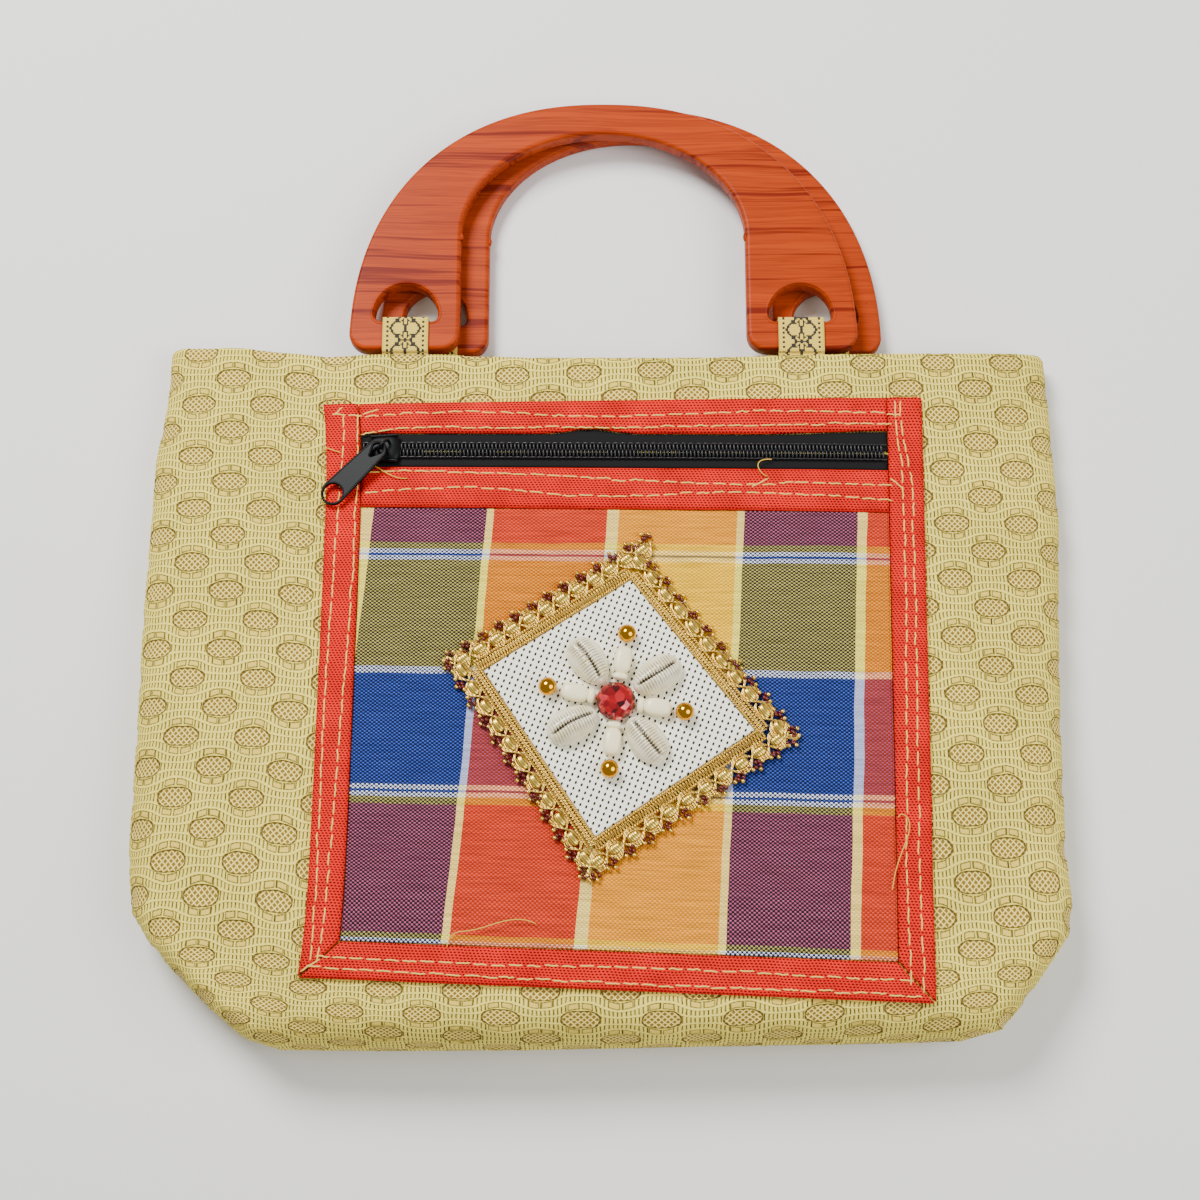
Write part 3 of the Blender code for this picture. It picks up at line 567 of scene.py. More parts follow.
# The weave's steps and the places of its first column and lens, in mm on the cloth
COLUMN = 11.8
ROW = 18.55
FIRST_COLUMN = 136.8
FIRST_LENS = 23.7
# A lens's half width and height in mm, and the powers that its outline follows
LENS_WIDE = 6.0
LENS_TALL = 3.2
WIDE_POWER = 2.5
TALL_POWER = 2.3
# How far threads bend, and their first place and spacing, as shares of half a row
THREAD_BEND = 0.165
THREAD_START = 0.185
THREAD_STEP = 0.315


def stations(roll_steps, inner_steps, both_ends):
    """Places across a panel: end, share of the flat part, angle of the roll and whether off
    the seam, from the seam round the roll, over the flat part and, with both ends, down again."""
    angle = np.concatenate([[0], np.linspace(0, math.pi / 2, roll_steps + 1)])
    off = np.concatenate([[0], np.ones(roll_steps + 1)])
    inner = np.linspace(0, 1, inner_steps + 1)[1:]
    flat = np.full(inner_steps, math.pi / 2)
    edge = np.zeros(len(angle) + inner_steps)
    share = np.concatenate([0 * angle, inner])
    turn, clear = np.concatenate([angle, flat]), np.concatenate([off, flat * 0 + 1])
    if both_ends:
        edge = np.concatenate([edge[:-1], np.ones(len(angle))])
        share = np.concatenate([share[:-1], np.ones(len(angle))])
        turn = np.concatenate([turn[:-1], angle[::-1]])
        clear = np.concatenate([clear[:-1], off[::-1]])
    return edge, share, turn, clear


def panel_points(across_steps, along_steps, roll_steps, front):
    """A panel's outer face: its x and y run between the sides and ends, and its height falls
    to the seam with the sine of the roll's angle at the sides and the base."""
    edge, across, side_turn, off_side = stations(roll_steps, across_steps, True)
    _, along, base_turn, off_base = stations(roll_steps, along_steps, False)
    up = BASE_ROLL * (1 - np.cos(base_turn)) + (BAG_HEIGHT - BASE_ROLL) * along
    share = (up / BAG_HEIGHT)[:, None]
    left = -HALF_WIDTH * np.interp(share, SIDES[0], SIDES[1])
    right = HALF_WIDTH * np.interp(share, SIDES[0], SIDES[2])
    inset = SIDE_ROLL * (1 - np.cos(side_turn))
    inner = right - left - 2 * SIDE_ROLL
    x = np.where(edge > 0, right - inset, left + inset + inner * across)
    lift = BAG_HEIGHT * np.interp(x / HALF_WIDTH, ENDS[0], ENDS[1])
    y = Y_BASE + up[:, None] + lift * (1 - share) - mouth_fall(x) * share
    roll = np.sin(base_turn)[:, None] * np.sin(side_turn)
    band = SEAM_BAND * off_base[:, None] * off_side
    seam = seam_height(y)
    low = seam + GAP / 2 + band
    z = low + (front_height(x, y) - low) * roll if front else (seam - GAP / 2 - band) * (1 - roll)
    return np.stack([x, y, z], axis=-1)


def cloth_map(points):
    """Place of each point on the cloth laid flat: lengths along the grid's lines, counted from
    the middle of the bag and from its mouth."""
    steps = np.linalg.norm(np.diff(points, axis=1), axis=2)
    u = np.concatenate([np.zeros((len(points), 1)), np.cumsum(steps, axis=1)], axis=1)
    middle = np.argmin(np.abs(points[..., 0]), axis=1)
    rows = np.arange(len(points))
    u += (points[rows, middle, 0] - u[rows, middle])[:, None]
    steps = np.linalg.norm(np.diff(points, axis=0), axis=2)
    v = np.concatenate([np.zeros((1, points.shape[1])), np.cumsum(steps, axis=0)])
    v += points[-1, :, 1] - v[-1]
    return np.stack([u, v], axis=-1)


def weave_place(uv):
    """Place on the weave in metres, from the first column and its first lens. The rows climb a
    little to the right, as the cloth was cut, and dip beside the pocket's upper left corner.
    The columns lean outwards on the right, more so lower down, and the rows are drawn down
    towards the bag's base."""
    x, y = uv[..., 0] / MM, uv[..., 1] / MM
    stations_x = (-134.7, -121, -110, -98, -84, -60, 0, 114, 137)
    climb = np.interp(x, stations_x, (0, -0.2, -0.9, -2.4, -2.4, -1.4, 0.6, 3.5, 3.8))
    right = smooth_step(-60, 120, x)
    climb = climb + 1.7 * right * smooth_step(10, 60, y)
    rows_y = (-135, -116, -101, -90, -80, -60, -50, -29, -5)
    climb = climb - np.interp(y, rows_y, (10.5, 7.8, 5.6, 4.7, 4.0, 2.6, 2.3, 1.2, 0))
    lean = right * np.interp(y, (-120, 13, 95), (5.5, 4.6, 1.5))
    left = np.interp(y, (-120, -100, -70, -45, -20, 40, 95), (-1, -0.3, 1.1, 1.9, 1.6, 0.4, 0))
    lean = lean + (1 - right) * left
    return np.stack([x + FIRST_COLUMN - lean, y + FIRST_LENS - climb], axis=-1) * MM


def weave_relief(place):
    """Height of the weave: its lens-shaped nets sunk by most, and the light threads that bend
    round them raised. A thread's level is the share of the way from one row of lenses to the
    next, less a sine of that share times a cosine across the column."""
    u, v = place[..., 0] / MM, place[..., 1] / MM
    column = np.round(u / COLUMN)
    across = u - column * COLUMN
    row = v / ROW - (column % 2) / 2
    far = np.abs(row - np.round(row)) * 2
    level = far - THREAD_BEND * np.sin(np.pi * far) * np.cos(np.pi * across / COLUMN)
    tall = far * ROW / 2
    lens = (np.abs(across) / LENS_WIDE) ** WIDE_POWER + (tall / LENS_TALL) ** TALL_POWER
    lens = 1 - smooth_step(0.6, 1.15, lens)
    ridge = 0.5 + 0.5 * np.cos(math.tau * (level - THREAD_START) / THREAD_STEP)
    return MM * ((0.30 * ridge - 0.16) * (1 - lens) - 0.55 * lens)


def bag_front(finish_made):
    """The front panel's own surface, moved along its normals by the weave's relief, with a
    plain inner face one cloth's thickness behind."""
    points = panel_points(300, 232, 15, True)
    place = weave_place(cloth_map(points))
    normal = normals_of(points)
    edge = np.minimum(points[..., 2] - seam_height(points[..., 1]), 4 * MM) / (4 * MM)
    rows = np.linspace(1, 0, len(points))[:, None] * BAG_HEIGHT
    hem = 0.9 * MM * (1 - smooth_step(0, 2.2 * MM, rows)) ** 2
    shift = weave_relief(place) * smooth_step(0.1, 0.9, edge) - hem
    outer = points + normal * shift[..., None]
    part = wall(outer, points - normal * CLOTH, place, 4)
    made = piece("bag_front", part, finish_made, "jute", "front_panel")


def bag_back(finish_made):
    """The back panel's own surface, which lies on the ground, a little coarser."""
    points = panel_points(216, 168, 11, False)[:, ::-1]
    place = weave_place(cloth_map(points))
    normal = normals_of(points)
    shift = 0.3 * weave_relief(place) * smooth_step(1 * MM, 5 * MM, points[..., 2])
    outer = points + normal * shift[..., None]
    part = wall(outer, points - normal * CLOTH, place, 4)
    made = piece("bag_back", part, finish_made, "jute", "back_panel")


# The pocket


def pocket_cloth(finish_made):
    """The plaid cloth, a thin slab that follows the bag's front inside the tapes."""
    p = np.linspace(-INNER_X + GAP, INNER_X - GAP, 141)
    q = np.linspace(PLAID_BOTTOM + GAP, PLAID_TOP - GAP, 113)
    p, q = np.meshgrid(p, q)
    soft = 0.12 * MM * (np.sin(p * 190) * np.sin(q * 120 + 1) + np.sin(p * 71 + q * 160))
    top = on_pocket(p, q, GAP + POCKET_CLOTH + soft - 0.2 * MM)
    part = wall(top, on_pocket(p, q, GAP), np.stack([p, q], axis=-1))
    made = piece("pocket_front", part, finish_made, "plaid_cotton", "pocket_cloth")


def tape_points(x0, x1, y0, y1, mitre):
    """Places on a tape between two lines of the pocket, its ends cut to the mitre, and how far
    each lies across the tape, from -1 to 1 both ways."""
    cols = 9 if x1 - x0 < y1 - y0 else 121
    rows = 121 if cols == 9 else 9
    across, along = np.meshgrid(np.linspace(0, 1, cols), np.linspace(0, 1, rows))
    low_y = y0 + mitre[0] * (1 - across) + mitre[1] * across
    q = low_y + (y1 - low_y) * along
    low_x = x0 + mitre[2] * (1 - along)
    high_x = x1 - mitre[3] * (1 - along)
    return low_x + (high_x - low_x) * across, q, 2 * across - 1, 2 * along - 1


def tapes(finish_made):
    """Five twill tapes: flat slabs whose top falls at the edges with the sixth power and dips
    a little along each row of stitches."""
    hx, hy, inner = POCKET_WIDTH / 2, POCKET_HEIGHT / 2, INNER_X - GAP
    cut = SIDE_TAPE + 1.5 * GAP
    spans = (
        # name, left, right, low, high, mitre
        ("left", -hx, -INNER_X, -hy + 1.5 * GAP, hy, (0, BASE_TAPE, 0, 0)),
        ("right", INNER_X, hx, -hy + 1.5 * GAP, hy, (BASE_TAPE, 0, 0, 0)),
        ("top", -inner, inner, ZIP_TOP, hy, (0, 0, 0, 0)),
        ("middle", -inner, inner, PLAID_TOP, ZIP_BOTTOM, (0, 0, 0, 0)),
        ("bottom", -hx + cut, hx - cut, -hy, PLAID_BOTTOM, (0, 0, -SIDE_TAPE, -SIDE_TAPE)),
    )
    for name, x0, x1, y0, y1, mitre in spans:
        p, q, across, along = tape_points(x0, x1, y0, y1, mitre)
        width = across if name in ("left", "right") else along
        if name == "top":
            q = q + zip_bulge(p) * (1 - along) / 2
        stitched = 0.12 * MM * np.exp(-(((np.abs(width) - 0.5) / 0.12) ** 2))
        top = on_pocket(p, q, TAPE_LIFT + BINDING * (1 - 0.35 * width**6) - stitched)
        part = wall(top, on_pocket(p, q, TAPE_LIFT), np.stack([p, q], axis=-1))
        made = piece(f"tape_{name}", part, finish_made, "red_twill", f"binding_{name}")


def stitches(finish_made, pitch):
    """Rows of stitches: short round threads that rise in a low arch and sink at both ends."""
    rng = np.random.default_rng(7)
    seams = (
        # places in the pocket's own square, in mm
        ((-92.7, 92), (-92.8, 86), (-94.9, 54), (-95.3, 39), (-96.2, 5), (-96.4, -42), (-96, -80),
         (-95.6, -90.5)),
        ((-87.8, 92), (-88.1, 86), (-89, 54), (-88.8, 39), (-90, 5), (-91.6, -35), (-93, -80),
         (-93.5, -91)),
        ((-97, 91.9), (-92, 91.4), (-86, 90.9), (-67, 91.8), (-41, 91.9), (-28, 90.6), (-1, 90.2),
         (45, 91.6), (75, 91.3), (92.5, 90.7)),
        ((-87, 84.5), (-75, 86.3), (-64, 86.9), (-48, 86.6), (-21, 86.8), (5, 86.6), (45, 87.4),
         (75, 88), (89, 87.9)),
        ((-86.5, 70.7), (-74, 71.3), (-51, 70.6), (-28, 69.9), (-2, 68.4), (25, 67.6), (42, 67),
         (58, 68), (88.6, 67.6)),
        ((-86.5, 63.2), (-74, 64.3), (-56, 65.4), (-41, 64.9), (-21, 62.9), (5, 62.8), (38, 64.6),
         (68, 63.7), (88.5, 62.5)),
        ((-95, -88.6), (-68, -89.2), (-37, -89.2), (7, -88.5), (44, -88.6), (81, -89.3),
         (92, -89.5)),
        ((-97, -92.2), (-67, -92.6), (-36, -93), (7, -93.4), (44, -93.3), (81, -93.3),
         (94.5, -93.4)),
        ((89.8, 95), (90.2, 86), (92.1, 72), (92.3, 30), (91.2, -20), (90.4, -60), (91, -91)),
        ((91.5, 95), (91.9, 86), (93.6, 78), (95, 68), (95.2, 30), (94.8, -20), (94.6, -60),
         (95.2, -93)),
        ((-95.5, 91.5), (-92, 94.4)),
        ((-87, 91), (-80.5, 93.2)),
        ((-98.5, -93.5), (-92.5, -89.5)),
        ((88, 70), (92.5, 66)),
        ((41, 66), (47.5, 69.5)),
    )
    profile = MM * np.array((-0.42, -0.02, 0.10, 0.13, 0.10, -0.02, -0.42))
    paths = []
    for seam in seams:
        places = np.array(seam, float) * MM
        reach = np.concatenate([[0], np.cumsum(np.hypot(*np.diff(places, axis=0).T))])
        count = max(1, round(reach[-1] / pitch))
        t = (np.arange(count)[:, None] + np.linspace(0.035, 0.965, 7)) / count * reach[-1]
        stray = rng.normal(0, 0.16 * MM, (2, count, 1)) + rng.normal(0, 0.10 * MM, (2, count, 7))
        p = np.interp(t, reach, places[:, 0]) + stray[0]
        q = np.interp(t, reach, places[:, 1]) + stray[1]
        paths.append(on_pocket(p, q, TAPE_TOP + profile))
    piece("stitches", tubes(np.concatenate(paths), 0.27 * MM, 6), finish_made, "red_twill")


# The zip


def zip_bulge(p):
    """The zip's tape bulges up at one place and again towards its right end, and pushes the
    twill tape's edge there."""
    bulge = 1.5 * np.exp(-(((p + 11 * MM) / (9 * MM)) ** 2))
    return MM * (bulge + 1.2 * smooth_step(40 * MM, 90 * MM, p))


def zip_tapes(finish_made):
    """The zip's two woven tapes, thin slabs beside its coil."""
    rows = ((ZIP_LINE + ZIP_SLOT / 2, ZIP_TOP - GAP), (ZIP_BOTTOM + GAP, ZIP_LINE - ZIP_SLOT / 2))
    for name, (low, high) in zip(("upper", "lower"), rows):
        p, q = np.meshgrid(
            np.linspace(-INNER_X + GAP, INNER_X - GAP, 121), np.linspace(low, high, 7)
        )
        if name == "upper":
            q += zip_bulge(p) * (q - low) / (high - low)
        top = on_pocket(p, q, TAPE_LIFT + ZIP_TAPE)
        part = wall(top, on_pocket(p, q, TAPE_LIFT), np.stack([p, q], axis=-1))
        piece(f"zip_cloth_{name}", part, finish_made, "black_tape", f"zip_tape_{name}")


def zip_teeth(finish_made, pitch):
    """The coil seen from above: two rows of flat loops that lock at the middle, each one a
    stretched ball, and a cord of sewing thread along both sides."""
    p = -INNER_X + 1.2 * MM + np.arange(int((2 * INNER_X - 2 * MM) / pitch)) * pitch
    loop, faces = rounded_ball((0.95 * MM, 3.3 * MM, 1.5 * MM), 8, 6)
    centres = np.concatenate([
        on_pocket(p, ZIP_LINE + 1.05 * MM, COIL_LIFT + 0.75 * MM),
        on_pocket(p + 0.496 * pitch, ZIP_LINE - 1.05 * MM, COIL_LIFT + 0.75 * MM),
    ])
    run = np.linspace(-INNER_X + 0.6 * MM, INNER_X - 0.6 * MM, 241)
    sewn = []
    for offset in (-2.55, 2.55):
        height = COIL_LIFT + MM * (0.55 + 0.18 * np.cos(run / (2.5 * MM) * math.tau))
        sewn.append(on_pocket(run, ZIP_LINE + offset * MM, height))
    part = joined([copies((loop, faces), centres), tubes(np.array(sewn), 0.3 * MM, 6)])
    piece("zip_teeth", part, finish_made, "nylon_coil", "zip_coil")


def slider_frame(lift):
    """The slider's own frame on the front, its X along the zip."""
    p = -INNER_X + SLIDER_FROM_TAPE
    x, y = pocket_xy(p, ZIP_LINE)
    far_x, far_y = pocket_xy(p + SLIDER_LENGTH, ZIP_LINE)
    turn = math.degrees(math.atan2(far_y - y, far_x - x))
    return seat_matrix(float(x), float(y), lift, turn), turn


def solid_piece(name, mesh, place, finish_made, slot, stands_for, body=BAG):
    """A piece from a mesh moved to its place, smooth but for sharp angles."""
    mesh.transform(place)
    mesh.shade_smooth()
    mesh.set_sharp_from_angle(angle=math.radians(35))
    return placed(name, mesh, finish_made, slot, stands_for, body)


def zip_slider(finish_made):
    """A domed shield over the coil, wider where the rows part, with two lips along its sides
    and the arched bridge that holds the pull."""
    seat, turn = slider_frame(COIL_LIFT)
    size = (SLIDER_LENGTH, 9.4 * MM, 2 * (SLIDER_HEIGHT - 0.2 * MM))
    points, faces = rounded_ball(size, 48, 24, 3.4)
    points[:, 2] = np.maximum(points[:, 2], 0.2 * MM)
    points[:, 1] *= 1 + 0.10 * points[:, 0] / (SLIDER_LENGTH / 2)
    parts = [(points, faces)]
    along = np.linspace(-0.42, 0.42, 25) * SLIDER_LENGTH
    for side in (-1, 1):
        edge = side * (4.2 * MM + 0.10 * along / (SLIDER_LENGTH / 2) * 4.2 * MM)
        lip = np.stack([along, edge, 0 * along + SLIDER_HEIGHT - 0.9 * MM], axis=-1)
        parts.append(tubes(lip, 0.55 * MM, 8))
    turn_to_pull = math.radians(PULL_TURN - turn)
    t = np.linspace(0, math.pi, 25)
    reach, rise = PULL_BAR / 2 + PULL_PLAY + 0.45 * MM, PIVOT_HEIGHT + 1.75 * MM
    height = SLIDER_HEIGHT - 0.5 * MM + rise * np.sin(t) ** 0.6
    bridge = tubes(np.stack([reach * np.cos(t), 0 * t, height], axis=-1), 0.5 * MM, 10)
    parts.append(moved(bridge, Matrix.Rotation(turn_to_pull, 4, "Z")))
    part = moved(joined(parts), seat)
    piece("slider_shield", part, finish_made, "black_enamel", "zip_slider")


def zip_pull(finish_made):
    """A flat tongue that widens to its ring hole, with a raised rim and a small window, hung
    by its end bar under the slider's bridge."""
    half, bar = PULL_WIDTH / 2, PULL_BAR / 2
    far = PULL_LENGTH - half
    neck = 3.3 * MM
    outline = np.concatenate([
        arc((far, 0), (half, half), -90, 90, 40),
        arc((neck - bar, 0), (neck, neck), 90, 270, 24),
    ])
    hole = arc((far, 0), (PULL_HOLE / 2, PULL_HOLE / 2), 360, 10, 35)
    window = np.concatenate([
        arc((bar + 1.9 * MM, 0), (1.9 * MM, 1.9 * MM), 270, 90, 16),
        arc((bar + 4.6 * MM, 0), (0.5 * MM, 0.5 * MM), 80, -80, 8),
    ])
    mesh = plate_mesh("pull_plate", (outline, hole, window), PULL_THICK, 0.55 * MM)
    pivot = COIL_LIFT + SLIDER_HEIGHT + PIVOT_HEIGHT
    seat, turn = slider_frame(pivot)
    rest = GAP + BINDING + 1.5 * GAP + PULL_THICK / 2
    down = math.asin((pivot - rest) / (far + half))
    place = seat @ Matrix.Rotation(math.radians(PULL_TURN - turn), 4, "Z")
    place = place @ Matrix.Rotation(down, 4, "Y")
    solid_piece("pull_tongue", mesh, place, finish_made, "black_enamel", "zip_pull", PULL)
    rims = []
    for ring, inset in ((outline, 0.55 * MM), (hole, -0.35 * MM)):
        middle = np.array((far / 2 if inset > 0 else far, 0))
        away = ring - middle
        ring = ring - away / np.linalg.norm(away, axis=1, keepdims=True) * inset
        path = np.column_stack([ring, np.full(len(ring), PULL_THICK / 2 - 0.12 * MM)])
        rims.append(moved(tubes(path, 0.32 * MM, 8, 0.8, ring=True), place))
    piece("pull_rims", joined(rims), finish_made, "black_enamel", body=PULL)


# The patch, its lace and its flower


def patch_cloth(finish_made):
    """The canvas of the patch, a thin slab turned on the plaid."""
    side = np.linspace(-PATCH_SIDE / 2 + GAP, PATCH_SIDE / 2 - GAP, 81)
    a, b = np.meshgrid(side, side)
    x, y = patch_xy(a, b)
    soft = 0.1 * MM * np.sin(a * 260) * np.cos(b * 210)
    top = on_front(x, y, PATCH_BASE + PATCH_CLOTH + soft)
    part = wall(top, on_front(x, y, PATCH_BASE), np.stack([x, y], axis=-1))
    made = piece("patch_canvas", part, finish_made, "white_canvas", "patch_cloth")


def lace_points(side, out, run, up):
    """Points of one side's lace, given outwards from the patch's centre, along the side and up."""
    cos, sin = ((1, 0), (0, 1), (-1, 0), (0, -1))[side]
    out, run = np.broadcast_arrays(out, run)
    return on_front(*patch_xy(out * cos - run * sin, out * sin + run * cos), PATCH_BASE + up)


def lace_cords(side, pitch, beyond):
    """One side's cords: a looped comb on a fast sine, two lines of two plies that wind round
    each other, and six cords that swing across the middle line on opposite cosines."""
    half = PATCH_SIDE / 2
    run = np.linspace(-half - 1.5 * MM, half + 1.5 * MM, 560)
    comb = half + 1.9 * MM + 1.25 * MM * np.sin(run / (1.05 * MM) * math.tau)
    comb = tubes(lace_points(side, comb, run, 0.75 * MM + 0 * run), 0.27 * MM, 5)
    run = np.linspace(-half - 1 * MM, half + 1 * MM, 260)
    plied = []
    for out in (0.35, 3.55):
        for ply in (0, math.pi):
            turn = run / (1.7 * MM) * math.tau + ply
            place = half + out * MM + 0.28 * MM * np.cos(turn)
            plied.append(lace_points(side, place, run, 0.95 * MM + 0.28 * MM * np.sin(turn)))
    run = np.linspace(-half - (9.5 + 5 * beyond) * MM, half + 9.5 * MM, 230)
    phase = run / pitch * math.pi
    waves = []
    for sign in (1, -1):
        for more in (-0.35, 0.25, 0.85):
            wave = sign * (2.2 + more) * MM * np.cos(phase + 0.25 * np.sin(run * 310 + side))
            lift = (0.95 + 0.35 * sign * np.sin(phase)) * MM
            waves.append(lace_points(side, half + LACE_MIDDLE + wave, run, lift))
    return joined([comb, tubes(plied, 0.33 * MM, 5), tubes(waves, 0.30 * MM, 6)])


def lace(gold, cord, bead, pitch):
    """Gold lace round the patch: its cords, flat knots where they cross, and small clusters of
    beads outside."""
    half = PATCH_SIDE / 2
    rng = np.random.default_rng(11)
    for side in range(4):
        number = side + 1
        # The second strip runs on past its corner by a knot
        beyond = int(side == 1)
        part = lace_cords(side, pitch, beyond)
        piece(f"lace_cords_{number}", part, cord, "gold_lace", f"lace_strip_{number}")
        knots = np.arange(-5 - beyond, 6) * pitch
        knot = rounded_ball((4.9 * MM, 3.1 * MM, 1.9 * MM), 20, 10, 2.4)
        slope = math.radians(PATCH_TURN + 90 * (side + 1))
        cos, sin = math.cos(slope), math.sin(slope)
        turn = np.array(((cos, sin, 0), (-sin, cos, 0), (0, 0, 1)))
        turns = np.repeat(turn[None], len(knots), axis=0)
        part = copies(knot, lace_points(side, half + LACE_MIDDLE, knots, 1.0 * MM), turns)
        piece(f"lace_knots_{number}", part, gold, "gold_lace")

        middle = (np.arange(-6 - beyond, 6) + 0.5) * pitch
        cluster = []
        for out, shift in ((8.4, -1.5), (9.5, -0.5), (8.6, 0.3), (9.7, 0.9), (8.5, 1.6)):
            stray = rng.normal(0, 0.3 * MM, (2, len(middle)))
            at = half + out * MM + stray[0]
            cluster.append(lace_points(side, at, middle + shift * MM + stray[1], 0.9 * MM))
        part = copies(rounded_ball((1.45 * MM,) * 3, 8, 6), np.concatenate(cluster))
        piece(f"lace_beads_{number}", part, bead, "gold_lace")
        tips = np.concatenate([
            lace_points(side, half + 10.7 * MM, middle + 0.2 * MM, 1.0 * MM),
            lace_points(side, half + 9.6 * MM, middle - 1.9 * MM, 1.2 * MM),
            lace_points(side, half + 8.9 * MM, middle + 2.3 * MM, 1.1 * MM),
        ])
        part = copies(rounded_ball((1.5 * MM,) * 3, 10, 8), tips)
        piece(f"lace_tips_{number}", part, gold, "gold_lace")


def centre_gem(finish_made):
    """A faceted stone: twelve-sided rings up to a flat table, joined by triangles where a ring
    is turned half a side from the last, and by flat bands elsewhere."""
    sides = 12
    levels = (
        # radius and height as shares of the stone's, and half turns
        (0.90, 0.0, 0),
        (1.0, 0.28, 0),
        (1.0, 0.36, 0),
        (0.90, 0.62, 1),
        (0.74, 0.84, 0),
        (0.50, 1.0, 1),
    )
    points = []
    for radius, height, half_turn in levels:
        turn = (np.arange(sides) + half_turn / 2) * math.tau / sides
        ring = GEM_WIDTH / 2 * radius * np.stack([np.cos(turn), np.sin(turn)], axis=-1)
        points.append(np.column_stack([ring, np.full(sides, GEM_HEIGHT * height)]))
    i = np.arange(sides)
    j = (i + 1) % sides
    faces = [i[None, ::-1], (i + sides * 5)[None]]
    for k, (_, _, half_turn) in enumerate(levels[1:]):
        low, low_next = k * sides + i, k * sides + j
        up, up_next = low + sides, low_next + sides
        if half_turn:
            bands = (low, low_next, up), (low_next, up_next, up)
        elif levels[k][2]:
            bands = (low, up_next, up), (low, low_next, up_next)
        else:
            bands = ((low, low_next, up_next, up),)
        faces += [np.stack(band, axis=-1) for band in bands]
    x, y = patch_centre()
    part = moved((np.concatenate(points), faces), seat_matrix(x, y, BEAD_LIFT, 10))
    piece("ruby_stone", part, finish_made, "ruby_acrylic", "centre_gem", smooth=False)


def cowrie():
    """A domed egg with a flat back. Along its crown runs a slit, a narrow bell sunk into the
    dome, whose lips are ribbed by a cosine along the shell."""
    ball, faces = rounded_ball((2, 2, 2), 72, 44)
    ball = ball[:, [2, 0, 1]]
    x, y, z = ball.T
    width = SHELL_WIDTH / 2 * (1 + 0.12 * x)
    dome = np.where(z > 0, 0.86, 0.22)
    along = 1 - smooth_step(0.72, 0.95, np.abs(x))
    bend = y - 0.10 * x**2 + 0.02
    slit = 0.26 * np.exp(-((bend / 0.07) ** 2)) * along
    lip = np.exp(-(((np.abs(bend) - 0.30) / 0.26) ** 2)) * along
    teeth = 0.055 * lip * np.cos(x * SHELL_LENGTH / 2 / (0.95 * MM) * math.tau)
    up = z > 0
    height = SHELL_HEIGHT * (dome * z + (0.06 * lip + teeth - slit) * up + 0.20)
    points = np.stack([SHELL_LENGTH / 2 * x, width * y, height], axis=-1)
    return points, faces


def ray_seat(reach, turn):
    """A seat on the patch, at a distance from its centre in a direction in degrees."""
    x, y = patch_centre()
    angle = math.radians(turn)
    return seat_matrix(x + math.cos(angle) * reach, y + math.sin(angle) * reach, BEAD_LIFT, turn)


def ray_bead(reach, turn, size, steps):
    """A rounded bead of a size that rests on the patch, on a ray from its centre."""
    points, faces = rounded_ball(size, *steps)
    return moved((points + (0, 0, size[2] / 2), faces), ray_seat(reach, turn))


def flower(shell, ivory, gold):
    """Four shells round the gem and, between them, a collar, a soft-cornered bead and a gold
    ball on each ray, all seated square to the front."""
    egg = cowrie()
    for number, shell_turn, ray_turn in PETALS:
        seat = ray_seat(SHELL_REACH, shell_turn)
        part = (*moved(egg, seat), egg[0][:, :2])
        piece(f"shell_{number}", part, shell, "cowrie_shell", f"cowrie_{number}")
        parts = [
            ray_bead(RICE_REACH, ray_turn, (RICE_LENGTH, RICE_ACROSS, RICE_WIDTH), (24, 16, 2.9)),
            ray_bead(COLLAR_REACH, ray_turn, COLLAR_SIZE, (24, 16, 2.6)),
        ]
        piece(f"rice_{number}", joined(parts), ivory, "ivory_bead", f"rice_bead_{number}")
        size = (1.08 * BALL_WIDTH, 1.08 * BALL_WIDTH, BALL_WIDTH)
        part = ray_bead(BALL_REACH, ray_turn, size, (28, 18))
        piece(f"ball_{number}", part, gold, "gold_bead", f"gold_bead_{number}")


# The handles and their ribbon loops


def arc(centre, radii, start, end, steps):
    """Points on an ellipse's arc, in degrees, both ends included."""
    turn = np.radians(np.linspace(start, end, steps + 1))
    return np.stack([centre[0] + radii[0] * np.cos(turn), centre[1] + radii[1] * np.sin(turn)], -1)


def handle_outline():
    """The D plate from its foot: a squarish arch outside, legs and a round arch inside."""
    half, rise, n = HANDLE_WIDTH / 2, HANDLE_RISE, HANDLE_SQUARE
    inner, r = HANDLE_INNER / 2, HANDLE_CORNER
    start = math.asin((r / rise) ** (n / 2))
    turn = np.linspace(start, math.pi - start, 97)
    c, s = np.cos(turn), np.sin(turn)
    outer = np.stack([np.sign(c) * half * np.abs(c) ** (2 / n), rise * s ** (2 / n)], -1)
    feet = (
        arc((-half + r, r), (r, r), 180, 270, 8)[1:],
        arc((-inner - r, r), (r, r), 270, 360, 8),
        arc((0, HANDLE_LEG), (inner, rise - HANDLE_ARCH - HANDLE_LEG), 180, 0, 72),
        arc((inner + r, r), (r, r), 180, 270, 8),
        arc((half - r, r), (r, r), 270, 360, 8)[:-1],
    )
    return np.concatenate([outer, *feet])


def slot_outline(x, grow=0.0):
    """A D-shaped hole: a flat bottom edge with round corners under a round top."""
    half, corner = SLOT_WIDTH / 2 + grow, SLOT_CORNER + grow
    low = SLOT_BAR + SLOT_CORNER
    return np.concatenate([
        arc((x, low), (half, SLOT_RISE - SLOT_CORNER + grow), 180, 0, 36),
        arc((x + half - corner, low), (corner, corner), 0, -90, 6)[1:],
        arc((x - half + corner, low), (corner, corner), 270, 180, 6)[:-1],
    ])


